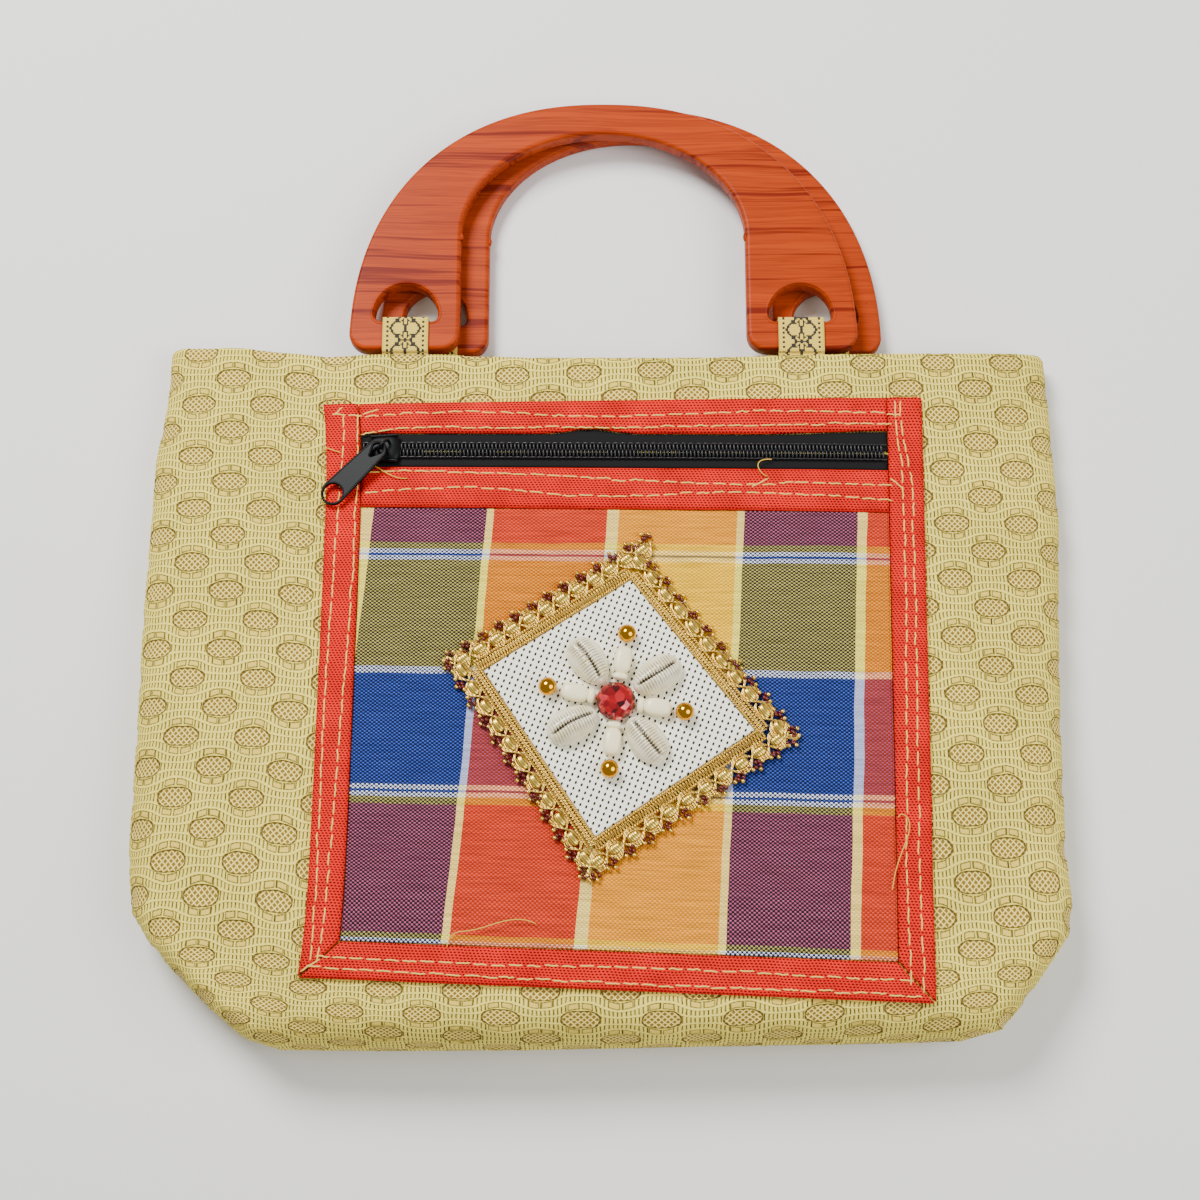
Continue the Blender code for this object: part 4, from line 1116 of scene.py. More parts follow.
def handle_levels():
    """Heights of the two plates' undersides at the foot and at the top of the arch."""
    back_foot = RIBBON + GAP
    front_foot = back_foot + HANDLE_THICK + 2 * RIBBON + 3 * GAP
    return (front_foot, HANDLE_THICK + GAP), (back_foot, 0.0)


def handle_places():
    """Each plate's foot, tilted so that its arch comes down to its level."""
    places = []
    feet = ((0.0, HANDLE_FOOT), (BACK_SHIFT, HANDLE_FOOT + BACK_LIFT))
    for (x, foot), (low, high) in zip(feet, handle_levels()):
        tilt = math.asin((high - low) / HANDLE_RISE)
        places.append(Matrix.Translation((x, foot, low)) @ Matrix.Rotation(tilt, 4, "X"))
    return places


def plate_mesh(name, outlines, thick, edge):
    """A flat plate cut to its outlines, with rounded edges, as a mesh."""
    curve = bpy.data.curves.new(name, "CURVE")
    curve.dimensions = "2D"
    curve.fill_mode = "BOTH"
    curve.extrude = thick / 2 - edge
    curve.bevel_depth = edge
    curve.bevel_resolution = 4
    curve.offset = -edge
    for outline in outlines:
        spline = curve.splines.new("POLY")
        spline.points.add(len(outline) - 1)
        flat = np.column_stack([outline, np.zeros(len(outline)), np.ones(len(outline))])
        spline.points.foreach_set("co", flat.ravel())
        spline.use_cyclic_u = True
    made = bpy.data.objects.new(name, curve)
    bpy.context.scene.collection.objects.link(made)
    graph = bpy.context.evaluated_depsgraph_get()
    mesh = bpy.data.meshes.new_from_object(made.evaluated_get(graph))
    bpy.data.objects.remove(made)
    return mesh


def handle(number, finish_made):
    """One D plate, with a thin raised rim round each ribbon hole and mould marks at the foot."""
    name = ("handle_front", "handle_back")[number]
    place = handle_places()[number] @ Matrix.Translation((0, 0, HANDLE_THICK / 2))
    outlines = [handle_outline(), slot_outline(-SLOT_X), slot_outline(SLOT_X)]
    mesh = plate_mesh("plate_" + name, outlines, HANDLE_THICK, HANDLE_EDGE)
    solid_piece("plate_" + name, mesh, place, finish_made, "wood_look_plastic", name)
    rims = []
    for x in (-SLOT_X, SLOT_X):
        ring = slot_outline(x, 1.0 * MM)
        for side in (1, -1):
            height = np.full(len(ring), side * (HANDLE_THICK / 2 - 0.05 * MM))
            rims.append(tubes(np.column_stack([ring, height]), 0.42 * MM, 8, 0.6, ring=True))
    spur = rounded_ball((1.5 * MM, 3.2 * MM, 2.6 * MM), 16, 10)
    for x in (-HANDLE_INNER / 2, HANDLE_INNER / 2):
        rims.append(moved(spur, Matrix.Translation((x, HANDLE_LEG, HANDLE_THICK / 2 - 1.6 * MM))))
    rims = [moved(part, place) for part in rims]
    piece(f"rims_{name}", joined(rims), finish_made, "wood_look_plastic")


def rounded(points, radius):
    """A path of straight runs whose corners are turned on short arcs."""
    points = [np.array(p, float) for p in points]
    made = [points[:1]]
    t = np.linspace(0, 1, BEND_STEPS + 1)[:, None]
    for before, corner, after in zip(points, points[1:], points[2:]):
        back, on = before - corner, after - corner
        cut = min(radius, np.linalg.norm(back) / 2.2, np.linalg.norm(on) / 2.2)
        first = corner + back / np.linalg.norm(back) * cut
        last = corner + on / np.linalg.norm(on) * cut
        made.append((1 - t) ** 2 * first + 2 * t * (1 - t) * corner + t * t * last)
    made.append(points[-1:])
    return np.concatenate(made)


def plate_under(y, foot, levels):
    """Height of a plate's underside, on a straight line from its foot to its arch."""
    return levels[0] + (levels[1] - levels[0]) * (y - foot) / HANDLE_RISE


def front_loop_path(x):
    """Out of the mouth, over the bar, through the D hole, back under it and in again."""
    mouth = Y_MOUTH - mouth_fall(x)
    edges = np.array([x - RIBBON_WIDTH / 2, x + RIBBON_WIDTH / 2])
    levels, _ = handle_levels()
    half = RIBBON / 2

    def under_cloth(y, layer):
        ceiling = front_height(edges, y).min() - CLOTH - RIBBON_PLAY
        return ceiling - half - layer * (RIBBON + GAP)

    def run(y, above):
        low = plate_under(y, HANDLE_FOOT, levels)
        return low + HANDLE_THICK + GAP + half if above else low - GAP - half

    slot = HANDLE_FOOT - GAP - half
    through = HANDLE_FOOT + SLOT_BAR + SLOT_PLAY + half
    ends = [mouth - RIBBON_TAIL, mouth - RIBBON_TAIL / 2, mouth - 2 * RIBBON]
    points = [(y, under_cloth(y, 0)) for y in ends]
    points += [(slot, under_cloth(mouth, 0) + RIBBON), (slot, run(slot, True))]
    points += [(through, run(through, True)), (through, run(through, False))]
    points += [(slot, run(slot, False))]
    points += [(y, under_cloth(y, 1)) for y in (ends[2] - 4 * RIBBON, ends[1], ends[0])]
    return rounded(points, RIBBON_BEND)


def back_loop_path(x):
    """The same for the back handle, whose ribbon lies flat under the bar."""
    mouth = Y_MOUTH - mouth_fall(x)
    _, levels = handle_levels()
    foot = HANDLE_FOOT + BACK_LIFT
    half = RIBBON / 2
    on_cloth = CLOTH + GAP + half
    through = foot + SLOT_BAR + SLOT_PLAY + half
    over = [plate_under(y, foot, levels) + HANDLE_THICK + GAP + half for y in (through, foot)]
    second = on_cloth + RIBBON + GAP
    points = [(mouth - RIBBON_TAIL, on_cloth), (mouth + RIBBON, on_cloth)]
    points += [(foot - RIBBON, half), (through, half), (through, over[0])]
    points += [(foot - GAP - half, over[1]), (mouth - 6 * RIBBON, second)]
    return rounded(points + [(mouth - RIBBON_TAIL, second)], RIBBON_BEND)


def ribbon(name, x, path, finish_made):
    """A ribbon of even thickness along a path of y and z, with its length and width as UV."""
    steps = np.linalg.norm(np.diff(path, axis=0), axis=1)
    run = np.concatenate([[0], np.cumsum(steps)])
    ahead = np.gradient(path, axis=0)
    ahead /= np.linalg.norm(ahead, axis=1, keepdims=True)
    normal = np.stack([-ahead[:, 1], ahead[:, 0]], axis=-1)
    across = np.linspace(-RIBBON_WIDTH / 2, RIBBON_WIDTH / 2, 13)
    sheets = []
    for side in (1, -1):
        yz = path + side * RIBBON / 2 * normal
        grid = np.zeros((len(path), len(across), 3))
        grid[..., 0] = x + across
        grid[..., 1:] = yz[:, None]
        sheets.append(grid)
    place = np.stack(np.broadcast_arrays(across[None], run[:, None]), axis=-1)
    part = wall(*sheets, place)
    made = piece(name.replace("loop", "ribbon"), part, finish_made, "ribbon_jacquard", name)


def loops(finish_made):
    """Four ribbon loops, one round each handle's bar under each of its D holes."""
    for side, x in (("left", -SLOT_X), ("right", SLOT_X)):
        ribbon(f"loop_front_{side}", x, front_loop_path(x), finish_made)
        back_x = x + BACK_SHIFT
        ribbon(f"loop_back_{side}", back_x, back_loop_path(back_x), finish_made)


def loose_threads(finish_made):
    """Five loose thread ends on the pocket, tubes along polynomials fitted to a few places."""
    routes = (
        # pocket places in mm and heights above the cloth
        ((-53.6, -84.5, 2.2), (-51.8, -81.5, 2.6), (-49.9, -79.5, 3.2), (-46, -80.3, 3.0),
         (-42, -79, 3.2), (-38.5, -77, 3.4), (-32, -76.8, 3.0), (-26.3, -77.4, 2.2)),
        ((87.9, -42.7, 2.6), (90, -42, 3.2), (91.3, -44.5, 3.6), (90.6, -49, 3.6),
         (88.3, -54, 3.4), (86.5, -60, 2.9), (85.5, -64.7, 2.3)),
        ((-86, 74, 2.3), (-81.5, 71.8, 3.2), (-77.1, 69.2, 3.0), (-72.1, 68.4, 2.3)),
        ((-99, 79.5, 2.4), (-96.5, 78.4, 3.0), (-94, 77.6, 2.4)),
        ((47, 70, 2.4), (44.8, 71.2, 3.3), (44, 74, 3.0), (46, 75.6, 2.6), (48.5, 75.8, 2.2)),
    )
    parts = []
    for route in routes:
        places = np.array(route) * MM
        t = np.linspace(0, 1, len(places))
        fit = np.polyfit(t, places, min(5, len(t) - 1))
        smooth = np.vander(np.linspace(0, 1, 60), len(fit)) @ fit
        parts.append(tubes(on_pocket(*smooth.T), 0.17 * MM, 6))
    piece("loose_threads", joined(parts), finish_made, "red_twill")


# Materials


# The setting that holds a node's mode, where it isn't its operation
MODES = {"MapRange": "interpolation_type", "Mix": "data_type", "VectorRotate": "rotation_type"}


def linear(code):
    """The linear colour of an sRGB hex value."""
    parts = [int(code[i : i + 2], 16) / 255 for i in (0, 2, 4)]
    return tuple(v / 12.92 if v <= 0.04045 else ((v + 0.055) / 1.055) ** 2.4 for v in parts)


def rgba(shade):
    """A socket's colour, from a hex code or from linear red, green and blue."""
    return (*(linear(shade) if isinstance(shade, str) else shade), 1)


def fill(tree, socket, value):
    """Links a node or a socket, sets a hex code as its colour and anything else as it is."""
    if isinstance(value, bpy.types.Node):
        value = next(output for output in value.outputs if output.enabled)
    if isinstance(value, bpy.types.NodeSocket):
        tree.links.new(value, socket)
    else:
        socket.default_value = rgba(value) if isinstance(value, str) else value


def add(tree, kind, *values, stops=(), **sockets):
    """Adds a node, its kind followed by its mode if it has one. A kind in capitals is a Math
    node's operation. Values fill the sockets in use, in order, and the rest fill sockets by
    name, with _ for a space. Stops are a colour ramp's places and colours."""
    kind, _, mode = kind.partition(" ")
    if kind.isupper():
        kind, mode = "Math", kind
    made = tree.nodes.new("ShaderNode" + kind)
    if mode and not stops:
        setattr(made, MODES.get(kind, "operation"), mode)
    for socket, value in zip([socket for socket in made.inputs if socket.enabled], values):
        fill(tree, socket, value)
    for name, value in sockets.items():
        fill(tree, made.inputs[name.replace("_", " ")], value)
    if stops:
        made.color_ramp.interpolation = mode or "LINEAR"
        elements = made.color_ramp.elements
        elements.remove(elements[1])
        elements[0].position = stops[0][0]
        elements[0].color = rgba(stops[0][1])
        for place, shade in stops[1:]:
            elements.new(place).color = rgba(shade)
    return made


def finish(name, roughness, **sockets):
    """A Principled material with its sockets set, and what adds nodes to its tree."""
    made = bpy.data.materials.new(name)
    made.use_nodes = True
    tree = made.node_tree
    for key, value in {"Roughness": roughness, **sockets}.items():
        fill(tree, tree.nodes["Principled BSDF"].inputs[key.replace("_", " ")], value)
    return made, partial(add, tree)


def dress(made, shade=None, height=None, depth=0.0):
    """The material with its colour linked, and a height from 0 to 1 as bump of a depth in
    metres."""
    tree = made.node_tree
    inputs = tree.nodes["Principled BSDF"].inputs
    if shade is not None:
        fill(tree, inputs["Base Color"], shade)
    if height is not None:
        bump = add(tree, "Bump", Height=height, Distance=depth, Strength=1.0)
        fill(tree, inputs["Normal"], bump)
    return made


def jute_weave(light, dark):
    """Jute in a mock leno weave: light wavy threads, dark slits between its ribs painted as shade,
    short dashes of floating yarn ringed with painted shade, and lens-shaped open nets whose holes
    and sunken rims are darkened with painted shade. The eye reads its honeycomb from afar."""
    made, node = finish("jute_mock_leno_weave", 0.8, Specular_IOR_Level=0.12)
    place = node("VectorMath SCALE", node("UVMap"), Scale=1000.0)
    drift = node("TexNoise", Vector=place, Scale=0.22, Detail=2.0)
    drift = node("VectorMath MULTIPLY_ADD", drift.outputs["Color"], (0.9, 0.9, 0), place)
    xy = node("SeparateXYZ", drift)
    u, v = xy.outputs[0], xy.outputs[1]
    across = node("PINGPONG", u, COLUMN / 2)
    column = node("ROUND", node("DIVIDE", u, COLUMN))
    odd = node("FLOORED_MODULO", column, 2.0)
    row = node("MULTIPLY_ADD", odd, -0.5, node("DIVIDE", v, ROW))
    far = node("MULTIPLY", node("PINGPONG", row, 0.5), 2.0)
    wave = node("SINE", node("MULTIPLY", far, math.pi))
    lean = node("COSINE", node("MULTIPLY", across, math.pi / COLUMN))
    wave = node("MULTIPLY", wave, lean)
    level = node("MULTIPLY_ADD", wave, -THREAD_BEND, far)
    # Threads, 2.9 mm apart
    beat = node("DIVIDE", node("SUBTRACT", level, THREAD_START), THREAD_STEP)
    beat = node("PINGPONG", beat, 0.5)
    thread = node("MapRange SMOOTHSTEP", beat, 0.10, 0.22, 1.0, 0.0)
    # Ribs, 1.25 mm apart
    rib = node("PINGPONG", u, 0.625)
    rib = node("MapRange SMOOTHSTEP", rib, 0.14, 0.625, 1.0, 0.0)
    # Open nets, sunk into the cloth: painted shade darkens their holes and rings their rim
    tall = node("MULTIPLY", far, ROW / 2)
    wide = node("POWER", node("DIVIDE", across, LENS_WIDE), WIDE_POWER)
    lens = node("POWER", node("DIVIDE", tall, LENS_TALL), TALL_POWER)
    lens = node("ADD", wide, lens)
    inside = node("MapRange SMOOTHSTEP", lens, 0.92, 1.04, 1.0, 0.0)
    rim = node("ABSOLUTE", node("SUBTRACT", lens, 0.86))
    rim = node("MapRange SMOOTHSTEP", rim, 0.07, 0.20, 1.0, 0.0)
    step_x = node("DIVIDE", across, 1.9)
    step_y = node("DIVIDE", tall, 1.9)
    first = node("PINGPONG", node("ADD", step_x, step_y), 0.5)
    second = node("PINGPONG", node("SUBTRACT", step_x, step_y), 0.5)
    net = node("MINIMUM", first, second)
    net = node("MapRange SMOOTHSTEP", net, 0.11, 0.24, 1.0, 0.0)
    # Dashes of floating yarn, each ringed by a band of painted shade
    box_x = node("ABSOLUTE", node("SUBTRACT", across, 2.0))
    box_x = node("SUBTRACT", box_x, 1.35)
    box_y = node("ABSOLUTE", node("SUBTRACT", level, 0.3425))
    box_y = node("MULTIPLY_ADD", box_y, ROW / 2, -0.72)
    box = node("MAXIMUM", box_x, box_y)
    dash = node("MapRange SMOOTHSTEP", box, -0.05, 0.12, 1.0, 0.0)
    outline = node("MapRange SMOOTHSTEP", box, 0.22, 0.42, 1.0, 0.0)

    brown = tuple(0.16 * a + 0.84 * b for a, b in zip(light, dark))
    # Painted shade for the slits between the ribs, where the relief is lowest: the dark colour,
    # mottled towards brown
    gap_shade = node("TexNoise", Vector=place, Scale=0.5, Detail=1.0)
    gap_shade = node("ValToRGB", gap_shade, stops=[(0.44, dark), (0.56, brown)])
    slit = node("MapRange SMOOTHSTEP", rib, 0.10, 0.40, 1.0, 0.0)
    # The slits take the painted shade, and the ribs keep the light yarn colour
    shade = node("Mix RGBA", slit, (*light, 1), gap_shade)
    # A brown ring of painted shade round each raised dash
    shade = node("Mix RGBA", outline, shade, (*brown, 1))
    shade = node("Mix RGBA", dash, shade, "EACC58")
    shade = node("Mix RGBA", thread, shade, (*light, 1))
    # The net's lines keep the light yarn colour. Its holes get a darker tan and its rim a brown
    # ring, both painted shade of the sunken net
    stops = [(0.0, "8E7228"), (0.5, "B8963A"), (1.0, "FFE47A")]
    shaded_net = node("ValToRGB", net, stops=stops)
    shaded_net = node("Mix RGBA", node("MULTIPLY", rim, 0.85), shaded_net, "5C481A")
    shade = node("Mix RGBA", inside, shade, shaded_net)
    fibre = node("TexNoise", Vector=place, Scale=3.2, Detail=4.0, Roughness=0.7)
    fibre = node("MapRange", fibre, 0.3, 0.75, 0.84, 1.12)
    patchy = node("TexNoise", Vector=place, Scale=0.035, Detail=3.0)
    patchy = node("MapRange", patchy, 0.3, 0.7, 0.90, 1.06)
    tone = node("MULTIPLY", fibre, patchy)
    shade = node("VectorMath SCALE", shade, Scale=tone)
    height = node("MAXIMUM", thread, node("MULTIPLY", rib, 0.7))
    height = node("MAXIMUM", height, node("MULTIPLY", dash, 0.8))
    height = node("Mix", inside, height, node("MULTIPLY", net, 0.5))
    return dress(made, shade, height, 0.55 * MM)


def plaid_cotton():
    """Madras cotton: warp stripes of navy, red and yellow crossed by red, yellow and blue, with
    pale lines between. Each crossing has its own mixed colour, and threads half a
    millimetre apart, coarser than real ones, speckle it."""
    made, node = finish("madras_cotton", 0.8, Specular_IOR_Level=0.1)
    uv = node("UVMap")
    wobble = node("TexNoise", Vector=uv, Scale=45.0, Detail=2.0)
    place = node("VectorMath MULTIPLY_ADD", wobble.outputs["Color"], (0.0012, 0.0012, 0), uv)
    xy = node("SeparateXYZ", place)
    p, q = xy.outputs[0], xy.outputs[1]
    # The warp leans to the left going down, most at the left
    lean = node("MULTIPLY_ADD", p, -0.3, 0.055)
    lean = node("MULTIPLY_ADD", node("SUBTRACT", 0.0537, q), lean, p)
    across = node("MapRange", lean, -0.1, 0.1, 0.0, 1.0)
    down = node("MapRange", q, 0.1, -0.1, 0.0, 1.0)
    cuts = (0.0, 0.085, 0.273, 0.2845, 0.472, 0.4885, 0.6845, 0.6975, 0.8855, 0.899)
    order = "WAWBWCWAWB"
    weft_colours = (
        # name, navy warp, red warp, yellow warp, pale warp
        ("red", "54303C", "D03A0A", "F09C00", "FFDC70"),
        ("yellow", "565238", "DC7C04", "FFC400", "FFEC58"),
        ("blue", "2C3468", "9A3A20", "8C7A30", "A8B2E0"),
        ("pale", "5A6CA8", "E88A48", "FFD238", "FFF6C0"),
        ("warp", "10142A", "B01C06", "D88000", "FFEA80"),
    )
    ramps = {}
    for name, navy, red, yellow, pale in weft_colours:
        shades = {"A": navy, "B": red, "C": yellow, "W": pale}
        stops = [(cut, shades[kind]) for cut, kind in zip(cuts, order)]
        ramps[name] = node("ValToRGB CONSTANT", across, stops=stops)
    off, on = (0, 0, 0), (1, 1, 1)
    masks = {
        "yellow": ((0, off), (0.265, on), (0.275, off), (0.294, on), (0.4775, off), (0.694, on),
                   (0.704, off), (0.901, on), (0.909, off)),
        "blue": ((0, off), (0.282, on), (0.287, off), (0.4900, on), (0.6755, off), (0.682, on),
                 (0.686, off)),
        "pale": ((0, off), (0.275, on), (0.282, off), (0.287, on), (0.294, off), (0.4775, on),
                 (0.490, off), (0.6755, on), (0.682, off), (0.686, on), (0.694, off), (0.909, on)),
    }
    cell = ramps["red"]
    weft = "A4546A"
    for name, code in (("yellow", "B4A650"), ("blue", "3450AC"), ("pale", "F4F6FF")):
        mask = node("ValToRGB CONSTANT", down, stops=masks[name])
        cell = node("Mix RGBA", mask, cell, ramps[name])
        weft = node("Mix RGBA", mask, weft, code)
    warp_rib = node("COSINE", node("MULTIPLY", p, math.pi / (0.75 * MM)))
    weft_rib = node("COSINE", node("MULTIPLY", q, math.pi / (0.58 * MM)))
    check = node("MULTIPLY", warp_rib, weft_rib)
    over = node("MapRange SMOOTHSTEP", check, -0.32, 0.10, 0.0, 1.0)
    threads = node("Mix RGBA", over, weft, ramps["warp"])
    # Navy warp and light weft show as separate dots, other crossings as one colour
    shares = [(cut, (0.80,) * 3 if kind == "A" else (0.22,) * 3) for cut, kind in zip(cuts, order)]
    share = node("ValToRGB CONSTANT", across, stops=shares)
    shade = node("Mix RGBA", share, cell, threads)
    dots = node("MULTIPLY_ADD", over, -0.60, 1.34)
    shade = node("VectorMath SCALE", shade, Scale=dots)
    slub = node("Mapping", Vector=uv, Scale=(70.0, 1100.0, 1.0))
    slub = node("TexNoise", Vector=slub, Scale=1.0, Detail=2.0)
    slub = node("MapRange", slub, 0.3, 0.7, 0.78, 1.20)
    shade = node("VectorMath SCALE", shade, Scale=slub)
    height = node("ABSOLUTE", check)
    return dress(made, shade, height, 0.2 * MM)


def red_twill(base):
    """Cotton twill tape: short dashes, sunk by the bump and darkened with painted shade, in rows
    0.82 mm apart, each row a third of a dash on from the last, so that they read as diagonals.
    The raised weave between them carries a painted highlight."""
    made, node = finish("cotton_twill_tape", 0.75, Specular_IOR_Level=0.1)
    uv = node("UVMap")
    bend = node("TexNoise", Vector=uv, Scale=160.0, Detail=2.0)
    place = node("VectorMath MULTIPLY_ADD", bend.outputs["Color"], (0.0007, 0.0007, 0), uv)
    xy = node("SeparateXYZ", place)
    row = node("DIVIDE", xy.outputs[1], 0.82 * MM)
    step = node("MULTIPLY", node("FLOOR", row), 0.36)
    step = node("ADD", node("DIVIDE", xy.outputs[0], 1.2 * MM), step)
    near_x = node("POWER", node("DIVIDE", node("PINGPONG", step, 0.5), 0.30), 2.0)
    near_y = node("PINGPONG", node("ADD", row, 0.5), 0.5)
    near_y = node("POWER", node("DIVIDE", near_y, 0.24), 2.0)
    ridge = node("MapRange", node("ADD", near_x, near_y), 0.3, 1.6, 0.0, 1.0)
    # Painted shade in the sunken dashes, the tape's colour between them, and a painted highlight
    # where the weave stands highest
    deep = tuple(0.20 * v for v in base)
    bright = tuple(min(1, 1.22 * v) for v in base)
    shade = node("ValToRGB", ridge, stops=[(0.0, deep), (0.55, base), (1.0, bright)])
    worn = node("TexNoise", Vector=uv, Scale=90.0, Detail=4.0)
    worn = node("MapRange", worn, 0.3, 0.7, 0.80, 1.16)
    shade = node("VectorMath SCALE", shade, Scale=worn)
    return dress(made, shade, ridge, 0.3 * MM)


def sewing_thread(name, base):
    """Twisted sewing thread, with fine ply marks: painted shade in the grooves between the plies.
    """
    made, node = finish(name, 0.55, Specular_IOR_Level=0.4)
    where = node("TexCoord").outputs["Object"]
    ply = node("VectorMath DOT_PRODUCT", where, (1900.0, 1300.0, 800.0))
    ply = node("PINGPONG", ply.outputs["Value"], 0.5)
    # Painted shade in the ply grooves, where the bump is lowest
    shade = node("ValToRGB", ply, stops=[(0.0, tuple(0.72 * v for v in base)), (0.3, base)])
    return dress(made, shade, ply, 0.05 * MM)


def zip_tape_cloth():
    """Black polyester tape in a fine herringbone that only the light shows."""
    made, node = finish("zip_tape_polyester", 0.75, Base_Color="0B0B0D", Specular_IOR_Level=0.2)
    slope = node("VectorMath DOT_PRODUCT", node("UVMap"), (1100.0, 900.0, 0.0))
    return dress(made, height=node("PINGPONG", slope.outputs["Value"], 0.5), depth=0.1 * MM)


def canvas_eyelet():
    """White cotton canvas with small slanting eyelets 2 mm apart, painted a dark greyish olive
    inside as the shade in the holes.
    """
    made, node = finish("eyelet_canvas", 0.8, Specular_IOR_Level=0.1)
    uv = node("UVMap")
    turned_uv = node("VectorRotate Z_AXIS", Vector=uv, Angle=math.radians(22))
    xy = node("SeparateXYZ", turned_uv)
    pitch = 1.98 * MM
    dx = node("PINGPONG", xy.outputs[0], pitch / 2)
    dy = node("PINGPONG", xy.outputs[1], pitch / 2)
    wide = node("POWER", node("DIVIDE", dx, 0.36 * MM), 2.0)
    tall = node("POWER", node("DIVIDE", dy, 0.55 * MM), 2.0)
    far = node("ADD", wide, tall)
    hole = node("MapRange SMOOTHSTEP", far, 0.5, 1.3, 1.0, 0.0)
    soft = node("TexNoise", Vector=uv, Scale=700.0, Detail=3.0)
    cloth = node("ValToRGB", soft, stops=[(0.3, "FFFBE0"), (0.65, "FFFFF2")])
    # Painted shade inside the sunken eyelets
    shade = node("Mix RGBA", hole, cloth, "2C2818")
    height = node("SUBTRACT", 1.0, hole)
    return dress(made, shade, height, 0.35 * MM)


def gold_thread(name, light, dark, roughness, pitch):
    """Metallic foil wound on a core: bright turns with dark gaps of painted shade where the bump
    sinks, as lurex gimp shows them.
    """
    made, node = finish(name, roughness, Metallic=0.9)
    where = node("TexCoord").outputs["Object"]
    wind = node("VectorMath DOT_PRODUCT", where, (0.8 / pitch, 0.6 / pitch, 0.9 / pitch))
    wind = node("PINGPONG", wind.outputs["Value"], 0.5)
    # The dark colour is painted shade in the gaps between the turns, where the bump sinks
    shade = node("ValToRGB", wind, stops=[(0.0, dark), (0.22, light), (0.5, light)])
    return dress(made, shade, wind, 0.12 * MM)


def cowrie_shell():
    """Glossy cream shell, its slit painted dark brown as the shade of the opening, and painted
    shade in the grooves of its lips.
    """
    made, node = finish("cowrie_shell_gloss", 0.22, Coat_Weight=0.4, Coat_Roughness=0.1)
    uv = node("UVMap")
    xy = node("SeparateXYZ", uv)
    x = node("DIVIDE", xy.outputs[0], SHELL_LENGTH / 2)
    y = node("DIVIDE", xy.outputs[1], SHELL_WIDTH / 2)
    bend = node("MULTIPLY_ADD", node("POWER", x, 2.0), -0.10, y)
    bend = node("ABSOLUTE", node("ADD", bend, 0.02))
    end = node("MapRange", node("ABSOLUTE", x), 0.66, 0.9, 1.0, 0.0)
    teeth = node("PINGPONG", xy.outputs[0], 0.475 * MM)
    teeth = node("DIVIDE", teeth, 0.475 * MM)
    edge = node("MULTIPLY_ADD", teeth, 0.09, 0.03)
    slit = node("MapRange", node("SUBTRACT", bend, edge), -0.02, 0.03, 1.0, 0.0)
    slit = node("MULTIPLY", slit, end)
    lip = node("MapRange SMOOTHSTEP", bend, 0.45, 0.8, 1.0, 0.0)
    groove = node("MULTIPLY", node("POWER", teeth, 1.6), lip)
    groove = node("MULTIPLY", groove, end)
    tint = node("TexNoise", Vector=uv, Scale=160.0, Detail=2.0)
    shell = node("ValToRGB", tint, stops=[(0.3, "EADCA8"), (0.6, "FCF4D4")])
    # Painted shade in the grooves between the lips' teeth
    shade = node("Mix RGBA", node("MULTIPLY", groove, 0.95), shell,
                "7A6434")
    # The slit's dark brown is painted shade of the sunken opening
    shade = node("Mix RGBA", slit, shade, "3E2E12")
    return dress(made, shade)


def wood_plastic(light, dark):
    """Moulded plastic coloured like red wood: streaks along the bag's width 1 to 3 mm wide,
    a few dark specks, and the soft gloss of a moulded face."""
    made, node = finish("wood_look_plastic", 0.42, Specular_IOR_Level=0.10)
    where = node("TexCoord").outputs["Object"]
    bend = node("TexNoise", Vector=where, Scale=14.0, Detail=2.0)
    place = node("VectorMath MULTIPLY_ADD", bend.outputs["Color"], (0, 0.006, 0), where)
    stretch = node("Mapping", Vector=place, Scale=(5.0, 260.0, 60.0))
    bands = node("TexNoise", Vector=stretch, Scale=1.0, Detail=5.0, Roughness=0.62)
    fine = node("Mapping", Vector=place, Scale=(26.0, 1400.0, 200.0))
    fine = node("TexNoise", Vector=fine, Scale=1.0, Detail=2.0)
    grain = node("MULTIPLY_ADD", fine, 0.25, bands)
    between = tuple(0.55 * a + 0.45 * b for a, b in zip(light, dark))
    lit = tuple(min(1, 1.15 * v) for v in light)
    places = (0.50, 0.56, 0.60, 0.68, 0.71, 0.85)
    stops = list(zip(places, (dark, between, light, between, light, lit)))
    shade = node("ValToRGB", grain, stops=stops)
    speck = node("TexVoronoi", Vector=where, Scale=240.0)
    speck = node("MapRange", speck.outputs["Distance"], 0.05, 0.09, 0.8, 0.0)
    sparse = node("TexNoise", Vector=where, Scale=60.0)
    sparse = node("MapRange", sparse, 0.62, 0.68, 0.0, 1.0)
    shade = node("Mix RGBA", node("MULTIPLY", speck, sparse), shade,
                "2A0D08")
    return dress(made, shade, grain, 0.05 * MM)


def foiled_stone():
    """Red acrylic over foil: cells 1.5 mm wide, dark to bright, painted reflections of the light
    that the cut foil back sends through the stone, up to pale pink glints, under a clear polished
    top."""
    made, node = finish("ruby_acrylic", 0.14, Metallic=0.5, Coat_Weight=0.8, Coat_Roughness=0.03)
    where = node("TexCoord").outputs["Object"]
    # Painted reflections and glints of the foil back, from dark red to pale pink, over the stone's
    # red
    cells = node("TexVoronoi", Vector=where, Scale=560.0)
    grey = node("SeparateXYZ", cells.outputs["Color"]).outputs[0]
    stops = [(0.0, "3E0206"), (0.35, "8E0410"), (0.7, "C60A18"), (0.92, "E8303A"), (1.0, "FF9AA0")]
    return dress(made, node("ValToRGB", grey, stops=stops))


